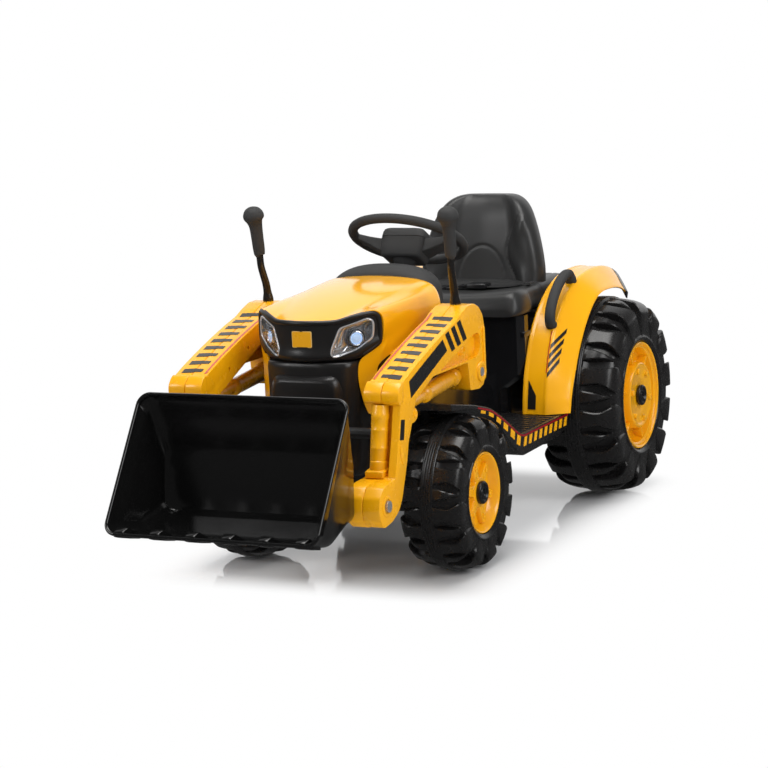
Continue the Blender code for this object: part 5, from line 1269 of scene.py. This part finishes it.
BELT_REACH = 0.128
belt_line = []
for k in range(97):
    x = -BELT_REACH + 2 * BELT_REACH * k / 96
    lift = 0.0042 * math.exp(-((x - 0.020) / 0.026) ** 2) + 0.0012 * math.sin(34 * x) ** 2
    belt_line.append(Vector((x, belt_y + 0.0035 * math.sin(21 * x + 0.6), pan_top(x) + 0.0016 + lift)))
rows = []
for point in belt_line:
    rows.append([point + Vector((0, BELT_WIDTH * (k / 6 - 0.5), 0.0)) for k in range(7)])
strap = piece("belt_strap", stitched(rows, closed=False), belt_black, "chassis", "webbing", "lap_belt")
strap_wall = strap.modifiers.new("thickness", "SOLIDIFY")
strap_wall.thickness = 0.0012
strap_wall.offset = 1.0
buckle_top = pan_top(0.02) + 0.0016 + 0.0042
slider_low = pan_top(0.05) - 0.0005
buckle = joined(belt_block(-0.001, 0.038, 0.017, 0.0155, buckle_top - 0.003, buckle_top + 0.0070, 0.0028, 3),
                belt_block(0.0245, 0.0345, 0.009, 0.009, buckle_top + 0.004, buckle_top + 0.0082, 0.0012),
                belt_block(-0.019, -0.0015, 0.014, 0.010, buckle_top - 0.0005, buckle_top + 0.0035, 0.0012),
                belt_block(-0.062, -0.044, 0.0155, 0.0155, slider_low, slider_low + 0.0055, 0.0014))
clasp = piece("belt_buckle", buckle, trim_black, "chassis", "black_trim")


# Loader arms: each is two yellow half-shells screwed together along a seam, with a pivot boss
# at the mast, a recessed web behind the beam and a fork at the bucket. Printed labels cover
# the beam's top and its outer side.
arm_yellow = plastic("arm_yellow", YELLOW, YELLOW_SHADE, 0.26, sink=0.0004, coat=0.1)
ARM_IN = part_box("arm_inner_left")[0].x
ARM_OUT = 0.210
ARM_MID = 0.180
LIFT = Vector((0, FRONT_AXLE_Y + 0.087, 0.326))
FORK = Vector((0, FRONT_AXLE_Y - 0.311, 0.173))
ARM_TOP = [(-0.252, 0.3262), (-0.252, 0.343), (-0.240, 0.356), (-0.205, 0.370), (-0.165, 0.384),
           (-0.105, 0.403), (-0.050, 0.4185), (-0.012, 0.4275), (0.014, 0.438), (0.040, 0.4460),
           (0.068, 0.4465), (0.088, 0.438), (0.103, 0.423), (0.109, 0.404)]
ARM_MAST = [(0.1095, 0.327), (0.099, 0.303), (0.080, 0.2975), (0.040, 0.3010)]
INNER_UNDER = [(0.032, 0.345), (0.012, 0.384), (-0.020, 0.388), (-0.186, 0.322), (-0.196, 0.300)]
OUTER_UNDER = [(0.033, 0.350), (-0.112, 0.350), (-0.186, 0.322), (-0.196, 0.300)]
LEG_INNER = [(-0.220, 0.205), (-0.234, 0.146), (-0.252, 0.1300), (-0.318, 0.1385), (-0.336, 0.152),
             (-0.341, 0.170), (-0.337, 0.190), (-0.322, 0.2045), (-0.300, 0.2085), (-0.248, 0.2095),
             (-0.2365, 0.270), (-0.2285, 0.3255)]
LEG_OUTER = [(-0.2187, 0.262), (-0.2277, 0.231), (-0.2404, 0.201), (-0.2535, 0.172), (-0.268, 0.1555),
             (-0.292, 0.1445), (-0.323, 0.1400), (-0.336, 0.152), (-0.341, 0.170), (-0.337, 0.190),
             (-0.322, 0.2045), (-0.300, 0.2085), (-0.276, 0.2095), (-0.257, 0.270), (-0.2445, 0.3255)]
ARM_WEB = [(-0.085, 0.3535), (-0.050, 0.3640), (0.000, 0.3765), (0.030, 0.3860), (0.062, 0.395),
           (0.085, 0.395), (0.090, 0.372), (0.074, 0.354), (0.034, 0.3535)]
KNEE_LUG = [(-0.213, 0.318), (-0.186, 0.311), (-0.178, 0.302), (-0.181, 0.292), (-0.194, 0.287),
            (-0.212, 0.288)]
CAP_BLOCK = [(-0.2545, 0.3275), (-0.2545, 0.3455), (-0.2425, 0.3585), (-0.2330, 0.3620), (-0.2330, 0.3275)]


def across(profile, y, z, steps=40):
    """A turned shape on a line across the object, from (x, radius) points."""
    return moved(lathe(profile, steps), (0, y, z))


def arm_boss(profile, y, z, steps=40):
    """A turned shape on an arm's outer face, from (height, radius) points."""
    return across([(ARM_OUT + x, r) for x, r in profile], y, z, steps)


def bore(x_from, x_to, radius, y, z, steps=28):
    """A round tool that takes a hole out of an arm."""
    return across(((x_from, 0), (x_from, radius), (x_to, radius), (x_to, 0)), y, z, steps)


def soft_prism(outline, x_from, x_to, width, corner=0.004):
    """A part of an arm with rounded corners and edges, from points given from the front axle."""
    return bevelled(prism(rounded(from_axle(outline), corner, 3), x_from, x_to), width, 3, 40)


PIVOT_HOLE = 0.0062
FORK_HOLE = 0.0052
SCREW_HOLE = 0.0036
inner_half = carved(soft_prism(ARM_TOP + ARM_MAST + INNER_UNDER + LEG_INNER, ARM_IN, ARM_MID - 0.0003,
                               0.0018),
                    bore(ARM_IN - 0.01, ARM_MID + 0.01, PIVOT_HOLE, LIFT.y, LIFT.z),
                    bore(ARM_IN - 0.01, ARM_MID + 0.01, FORK_HOLE, FORK.y, FORK.z),
                    *[bore(ARM_IN - 0.01, ARM_IN + 0.007, SCREW_HOLE, FRONT_AXLE_Y + y, z, 20)
                      for y, z in ((-0.150, 0.358), (-0.080, 0.384), (-0.012, 0.404))])
screws = [arm_boss(((-0.003, 0.0), (-0.003, 0.0046), (0.0004, 0.0044), (0.0008, 0.0036), (-0.0012, 0.0028),
                    (-0.0012, 0.0)), FRONT_AXLE_Y + y, z, 20)
          for y, z in ((-0.2455, 0.2380), (0.0985, 0.3960))]
leg_oval = [(-0.2462 + 0.0072 * math.cos(a) - 0.0040 * math.sin(a), 0.2440 + 0.0170 * math.sin(a))
            for a in turns(24)]
leg_boss = bevelled(prism(from_axle(leg_oval), ARM_OUT - 0.004, ARM_OUT + 0.0016), 0.0010, 2, 40)
leg_channel = prism(from_axle([(-0.3000, 0.2118), (-0.2490, 0.2118), (-0.2375, 0.2700), (-0.2298, 0.3240),
                               (-0.3000, 0.3240)]), ARM_MID - 0.01, 0.1965)
outer_half = carved(soft_prism(ARM_TOP + ARM_MAST + OUTER_UNDER + LEG_OUTER, ARM_MID + 0.0003, ARM_OUT,
                               0.0028),
                    soft_prism(ARM_WEB, ARM_OUT - 0.0105, ARM_OUT + 0.012, 0.0030, 0.010), leg_channel,
                    bore(ARM_MID - 0.01, ARM_OUT + 0.01, PIVOT_HOLE, LIFT.y, LIFT.z),
                    bore(ARM_MID - 0.01, ARM_OUT + 0.01, FORK_HOLE, FORK.y, FORK.z))
web_boss = arm_boss(((-0.0125, 0.0120), (-0.0105, 0.0112), (-0.0040, 0.0078), (-0.0026, 0.0066),
                     (-0.0024, 0.0044), (-0.0055, 0.0038), (-0.0065, 0)), FRONT_AXLE_Y + 0.024, 0.374)
mast_boss = arm_boss(((-0.004, 0.0080), (-0.004, 0.0182), (0.0020, 0.0180), (0.0034, 0.0170),
                      (0.0038, 0.0150), (0.0036, 0.0112), (0.0020, 0.0100), (0.0018, 0.0076),
                      (-0.004, 0.0076), (-0.004, 0.0080)), LIFT.y, LIFT.z, 48)
fork_boss = arm_boss(((-0.004, 0.0100), (-0.004, 0.0175), (0.0008, 0.0172), (0.0014, 0.0160),
                      (0.0014, 0.0120), (-0.004, 0.0100)), FORK.y, FORK.z, 48)
knee_boss = arm_boss(((-0.004, 0.0), (-0.004, 0.0070), (0.0010, 0.0066), (0.0016, 0.0050), (0.0004, 0.0036),
                      (-0.0010, 0.0)), FRONT_AXLE_Y - 0.1900, 0.3010, 28)
lug = soft_prism(KNEE_LUG, ARM_OUT - 0.016, ARM_OUT - 0.0004, 0.0024, 0.006)
flange = soft_prism([(0.0985, 0.398), (0.1030, 0.4035), (0.1060, 0.400), (0.1065, 0.330), (0.0975, 0.309),
                     (0.0945, 0.3115), (0.1005, 0.331)], ARM_OUT - 0.004, ARM_OUT + 0.0022, 0.0010, 0.002)
cap_inner = soft_prism(CAP_BLOCK, ARM_IN - 0.0012, ARM_MID - 0.0004, 0.0030, 0.006)
cap_outer = soft_prism(CAP_BLOCK, ARM_MID + 0.0004, ARM_OUT + 0.0012, 0.0030, 0.006)
pair(("loader_arm_inner", joined(inner_half, cap_inner), arm_yellow, "yellow_plastic", "arm_inner"),
     ("loader_arm_outer", joined(outer_half, web_boss, mast_boss, fork_boss, knee_boss, lug, flange,
                                 cap_outer, leg_boss, *screws), arm_yellow, "yellow_plastic", "arm_outer"),
     body="loader")

LABEL_TOP = [(-0.2250, 0.3622), (-0.205, 0.370), (-0.165, 0.384), (-0.105, 0.403), (-0.050, 0.4185),
             (-0.012, 0.4275), (0.012, 0.4370)]
LABEL_ROWS = 9


def beam_point(share, x, lift):
    """A point over the beam's top edge, at a share of the label's length."""
    pairs = [(Vector(a), Vector(b)) for a, b in zip(LABEL_TOP, LABEL_TOP[1:])]
    want = share * sum((b - a).length for a, b in pairs)
    for a, b in pairs:
        if want <= (b - a).length:
            break
        if b is not pairs[-1][1]:
            want -= (b - a).length
    ahead = (b - a).normalized()
    point = a + ahead * want + Vector((-ahead.y, ahead.x)) * lift
    return Vector((x, FRONT_AXLE_Y + point.x, point.y))


def beam_label(first, last, x_from, x_to, lift=0.0006, slant=0.0):
    """A thin printed patch that follows the beam's top."""
    rows = []
    for k in range(9):
        share = first + (last - first) * k / 8
        rows.append([beam_point(share, x_from, 0.0), beam_point(share, x_from, lift),
                     beam_point(share + slant, x_to, lift), beam_point(share + slant, x_to, 0.0)])
    return stitched(rows, capped=True)


label_pink = plastic("label_pink", (0.58, 0.120, 0.060), (0.52, 0.100, 0.050), 0.22)
label_grey = plastic("label_grey", (0.030, 0.028, 0.024), (0.024, 0.022, 0.019), 0.16)
pitch = 1.0 / LABEL_ROWS
checks = []
for k in range(LABEL_ROWS):
    first = (k + 0.10) * pitch
    checks.append(beam_label(first, first + 0.47 * pitch, 0.1795, 0.2010, slant=-0.10 * pitch))
    checks.append(beam_label(first + 0.08 * pitch, first + 0.44 * pitch, 0.1650, 0.1792))
edge_line = beam_label(0.0, 1.0, 0.1535, 0.1575)


def side_patch(corners):
    """A thin printed patch on an arm's outer side, between (y, z) corners."""
    return prism(from_axle(corners), ARM_OUT - 0.0004, ARM_OUT + 0.0004)


side_marks = [side_patch([(-0.2092, 0.3571), (-0.2042, 0.3293), (-0.0533, 0.3837), (-0.0699, 0.4047)])]
for k in range(3):
    top_y, top_z = -0.0590 + 0.0249 * k, 0.4115 + 0.0062 * k
    low_y, low_z = -0.0340 + 0.0253 * k, 0.3790 + 0.0050 * k
    side_marks.append(side_patch([(top_y, top_z), (top_y + 0.0145, top_z + 0.0038),
                                  (low_y + 0.0145, low_z + 0.0030), (low_y, low_z)]))
leg_mark = side_patch([(-0.2462, 0.3010), (-0.2315, 0.2990), (-0.2385, 0.2670), (-0.2535, 0.2690)])
pair(("arm_checks", joined(*checks), label_grey, "black_trim"),
     ("arm_edge_line", edge_line, label_pink, "yellow_plastic"),
     ("arm_side_marks", joined(leg_mark, *side_marks), label_black, "black_trim"), body="loader")


# Mock rams: turned yellow cylinders moulded with the arms. One lies under the beam, and one
# stands on the leg with ribs and a shoe.
def between_points(profile, start, end, steps=32):
    """A turned shape from one point to another, from (share of the way, radius) points."""
    start, end = Vector(start), Vector(end)
    shape = lathe([(share * (end - start).length, r) for share, r in profile], steps)
    turn_to = Vector((1, 0, 0)).rotation_difference(end - start).to_matrix().to_4x4()
    shape.transform(Matrix.Translation(start) @ turn_to)
    return shape


LIFT_RAM = ((0.0, 0.0), (0.0, 0.0165), (0.006, 0.0172), (0.052, 0.0172), (0.064, 0.0160), (0.070, 0.0146),
            (0.300, 0.0143), (0.520, 0.0143), (0.535, 0.0150), (0.565, 0.0150), (0.580, 0.0128),
            (0.590, 0.0106), (0.880, 0.0103), (0.900, 0.0118), (0.985, 0.0118), (1.0, 0.0108), (1.0, 0.0))
TILT_RAM = ((0.0, 0.0), (0.0, 0.0130), (0.03, 0.0140), (0.11, 0.0142), (0.125, 0.0150), (0.20, 0.0150),
            (0.215, 0.0140), (0.34, 0.0138), (0.35, 0.0143), (0.37, 0.0143), (0.38, 0.0138), (0.60, 0.0136),
            (0.61, 0.0141), (0.63, 0.0141), (0.64, 0.0135), (0.80, 0.0134), (0.815, 0.0148), (0.98, 0.0150),
            (1.0, 0.0140), (1.0, 0.0))
# The lift ram's yellow is darker than the arms' yellow: painted shade for its place under the beam. The tilt
# ram keeps the arms' own yellow.
ram_yellow_painted_shade = plastic("ram_yellow_painted_shade", (0.80, 0.375, 0.008), (0.74, 0.330, 0.006), 0.27, coat=0.3)
for word, side in SIDES:
    lift_ram = between_points(LIFT_RAM, (side * ARM_MID, FRONT_AXLE_Y + 0.0336, 0.3255),
                              (side * ARM_MID, FRONT_AXLE_Y - 0.1867, 0.3075), 40)
    tilt_x = side * (ARM_IN + 0.0235)
    tilt_ram = between_points(TILT_RAM, (tilt_x, FRONT_AXLE_Y - 0.2422, 0.3231),
                              (tilt_x, FRONT_AXLE_Y - 0.2612, 0.2129), 36)
    shoe = bevelled(prism(from_axle([(-0.2800, 0.2100), (-0.2790, 0.2215), (-0.2500, 0.2255),
                                     (-0.2470, 0.2100)]),
                          *sorted((tilt_x - side * 0.0165, tilt_x + side * 0.0165))), 0.0024, 3)
    piece(f"lift_cylinder_{word}", lift_ram, ram_yellow_painted_shade, "loader", "yellow_plastic", f"lift_ram_{word}")
    piece(f"tilt_cylinder_{word}", joined(tilt_ram, shoe), arm_yellow, "loader", "yellow_plastic",
          f"tilt_ram_{word}")


# Hand levers: bent steel rods painted gloss black, with a rubber grip and a mushroom knob.
lever_paint = plastic("lever_paint", (0.014, 0.013, 0.012), (0.010, 0.009, 0.009), 0.18)
LEVER_LINE = ((0.0, 0.0580, 0.4440, 0.0092), (0.0, 0.0578, 0.4500, 0.0094), (0.0, 0.0572, 0.4570, 0.0082),
              (0.0, 0.0560, 0.4640, 0.0070), (0.0, 0.0525, 0.4780, 0.0066), (0.001, 0.0465, 0.4940, 0.0064),
              (0.002, 0.0410, 0.5100, 0.0062), (0.0025, 0.0394, 0.5260, 0.0062),
              (0.0026, 0.0392, 0.5310, 0.0063))
GRIP_LINE = ((0.0026, 0.0392, 0.5300, 0.0070), (0.0027, 0.0391, 0.5310, 0.0092),
             (0.0030, 0.0388, 0.5380, 0.0102), (0.0033, 0.0375, 0.5480, 0.0106),
             (0.0036, 0.0355, 0.5620, 0.0108), (0.0040, 0.0333, 0.5780, 0.0114),
             (0.0044, 0.0318, 0.5860, 0.0126), (0.0047, 0.0300, 0.5915, 0.0146),
             (0.0049, 0.0290, 0.5955, 0.0176), (0.0050, 0.0284, 0.5990, 0.0184),
             (0.0050, 0.0278, 0.6030, 0.0180), (0.0050, 0.0271, 0.6085, 0.0158),
             (0.0050, 0.0267, 0.6125, 0.0122), (0.0050, 0.0264, 0.6150, 0.0080),
             (0.0050, 0.0263, 0.6162, 0.0040))


def rod_along(line, side, count, steps=24):
    """A bent round rod through (outwards, y, z, radius) stations."""
    rows = []
    for k in range(count + 1):
        out, y, z, r = between(line, k / count)
        ends = [Vector(between(line, share)[:3]) for share in (min((k + 1) / count, 1.0),
                                                               max((k - 1) / count, 0.0))]
        ahead = ends[0] - ends[1]
        ahead = Vector((side * ahead.x, ahead.y, ahead.z)).normalized()
        u = ahead.cross((0, 1, 0)).normalized()
        v = ahead.cross(u)
        centre = Vector((side * (ARM_MID + out), FRONT_AXLE_Y + y, z))
        rows.append([centre + (u * math.cos(a) + v * math.sin(a)) * r for a in turns(steps)])
    return stitched(rows, capped=True)


for word, side in SIDES:
    piece(f"lever_stem_{word}", rod_along(LEVER_LINE, side, 40), lever_paint, "loader", "soft_black",
          f"lever_{word}")
    piece(f"lever_grip_{word}", rod_along(GRIP_LINE, side, 56), soft_black, "loader", "soft_black")


# Bucket: a one-piece glossy black scoop with drawn-in walls, a rolled rim and six wedge teeth
# on its lower lip, hung between the forks on a rod through its two lugs.
bucket_gloss = plastic("bucket_gloss", (0.006, 0.006, 0.006), (0.004, 0.004, 0.004), 0.15, sink=0.0005,
                       uneven=0.35)
BUCKET_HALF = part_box("bucket")[1].x
BUCKET_LUG = ARM_IN - 0.001


def bucket_ring(top, bottom, half, inset=0.0, corner=0.022, push=0.0):
    """A rounded rectangle between two (y, z) points, moved along its own axis by push."""
    top, bottom = Vector(from_axle([top])[0]), Vector(from_axle([bottom])[0])
    down = (bottom - top).normalized()
    ahead = Vector((down.y, -down.x))
    if ahead.x > 0:
        ahead = -ahead
    top = top + down * inset + ahead * push
    height = (bottom - top + ahead * push).length - inset
    half -= inset
    ring = []
    for cx, cv, start in ((half - corner, corner, 0), (-half + corner, corner, 90),
                          (-half + corner, height - corner, 180), (half - corner, height - corner, 270)):
        for k in range(10):
            a = math.radians(start + 10 * k)
            point = top + down * (cv - corner * math.sin(a))
            ring.append((cx + corner * math.cos(a), point.x, point.y))
    return ring


def blended(first, last, share, low_share=None):
    """The top and bottom points of a section between two others."""
    shares = (share, share if low_share is None else low_share)
    return [Vector(a).lerp(Vector(b), t) for a, b, t in zip(first, last, shares)]


MOUTH = ((-0.385, 0.359), (-0.525, 0.1530))
SLOPE = ((-0.3805, 0.357), (-0.517, 0.1485))
MIDDLE = ((-0.3670, 0.322), (-0.446, 0.1340))
BACK = ((-0.3470, 0.264), (-0.353, 0.1540))
DEEP = ((-0.3535, 0.264), (-0.3595, 0.1540))
WALL = 0.0050
rows = [bucket_ring(*BACK, BUCKET_HALF - 0.040, 0.0, 0.016),
        bucket_ring(*BACK, BUCKET_HALF - 0.022, -0.0035, 0.020)]
for share in (0.25, 0.5, 0.75, 1.0):
    rows.append(bucket_ring(*blended(BACK, MIDDLE, share), BUCKET_HALF - 0.018 + 0.009 * share))
for share in (0.35, 0.7, 0.93):
    rows.append(bucket_ring(*blended(MIDDLE, SLOPE, share), BUCKET_HALF - 0.009 + 0.005 * share))
for inset, push in ((0.0014, -0.0062), (0.0002, -0.0048), (0.0, -0.0026), (0.0006, -0.0010),
                    (0.0020, -0.0001), (0.0036, -0.0004), (0.0050, -0.0016), (0.0056, -0.0040),
                    (0.0058, -0.0075)):
    rows.append(bucket_ring(*MOUTH, BUCKET_HALF, inset, 0.022 - inset * 0.5, push))
for share in (0.25, 0.5, 0.75, 1.0):
    rows.append(bucket_ring(*blended(SLOPE, MIDDLE, share), BUCKET_HALF - 0.005 - 0.006 * share,
                            WALL + 0.0008))
for share in (0.2, 0.4, 0.6, 0.8, 0.92):
    rows.append(bucket_ring(*blended(MIDDLE, DEEP, share, share ** 1.15),
                            BUCKET_HALF - 0.011 - 0.009 * share, WALL + 0.0008, 0.024))
rows.append(bucket_ring(*DEEP, BUCKET_HALF - 0.024, WALL + 0.0040, 0.026, 0.0005))
rows.append(bucket_ring(*DEEP, BUCKET_HALF - 0.034, WALL + 0.0120, 0.026, 0.0))
scoop = stitched(rows, capped=True)
lug_line = [(0.015 * math.cos(math.radians(-90 + 15 * k)), 0.015 * math.sin(math.radians(-90 + 15 * k)))
            for k in range(13)] + [(-0.0400, 0.026), (-0.0435, -0.016)]
lugs = []
for _, side in SIDES:
    x = sorted((side * BUCKET_LUG, side * (BUCKET_LUG - 0.014)))
    lugs.append(bevelled(prism([(FORK.y + y, FORK.z + z) for y, z in lug_line], *x), 0.0018, 2, 40))
TEETH = 6
spread = BUCKET_HALF - 0.030
lip_y = FRONT_AXLE_Y - 0.525
tooth = stitched([[(-spread + dx, lip_y + dy, z) for dx, dy, z in row] for row in
                  (((-0.0125, 0.050, 0.1372), (0.0125, 0.050, 0.1372), (0.0125, 0.050, 0.1440),
                    (-0.0125, 0.050, 0.1440)),
                   ((-0.0125, 0.020, 0.1440), (0.0125, 0.020, 0.1440), (0.0105, 0.0180, 0.1625),
                    (-0.0105, 0.0180, 0.1625)),
                   ((-0.0110, 0.006, 0.1486), (0.0110, 0.006, 0.1486), (0.0080, 0.0034, 0.1580),
                    (-0.0080, 0.0034, 0.1580)))],
                 capped=True)
teeth = copied(bevelled(tooth, 0.0013, 2, 30), TEETH, bucket_gloss, (2 * spread / (TEETH - 1), 0.0, 0.0))
piece("bucket_scoop", joined(scoop, teeth, *lugs), bucket_gloss, "scoop", "bucket_black", "bucket",
      smooth=40)
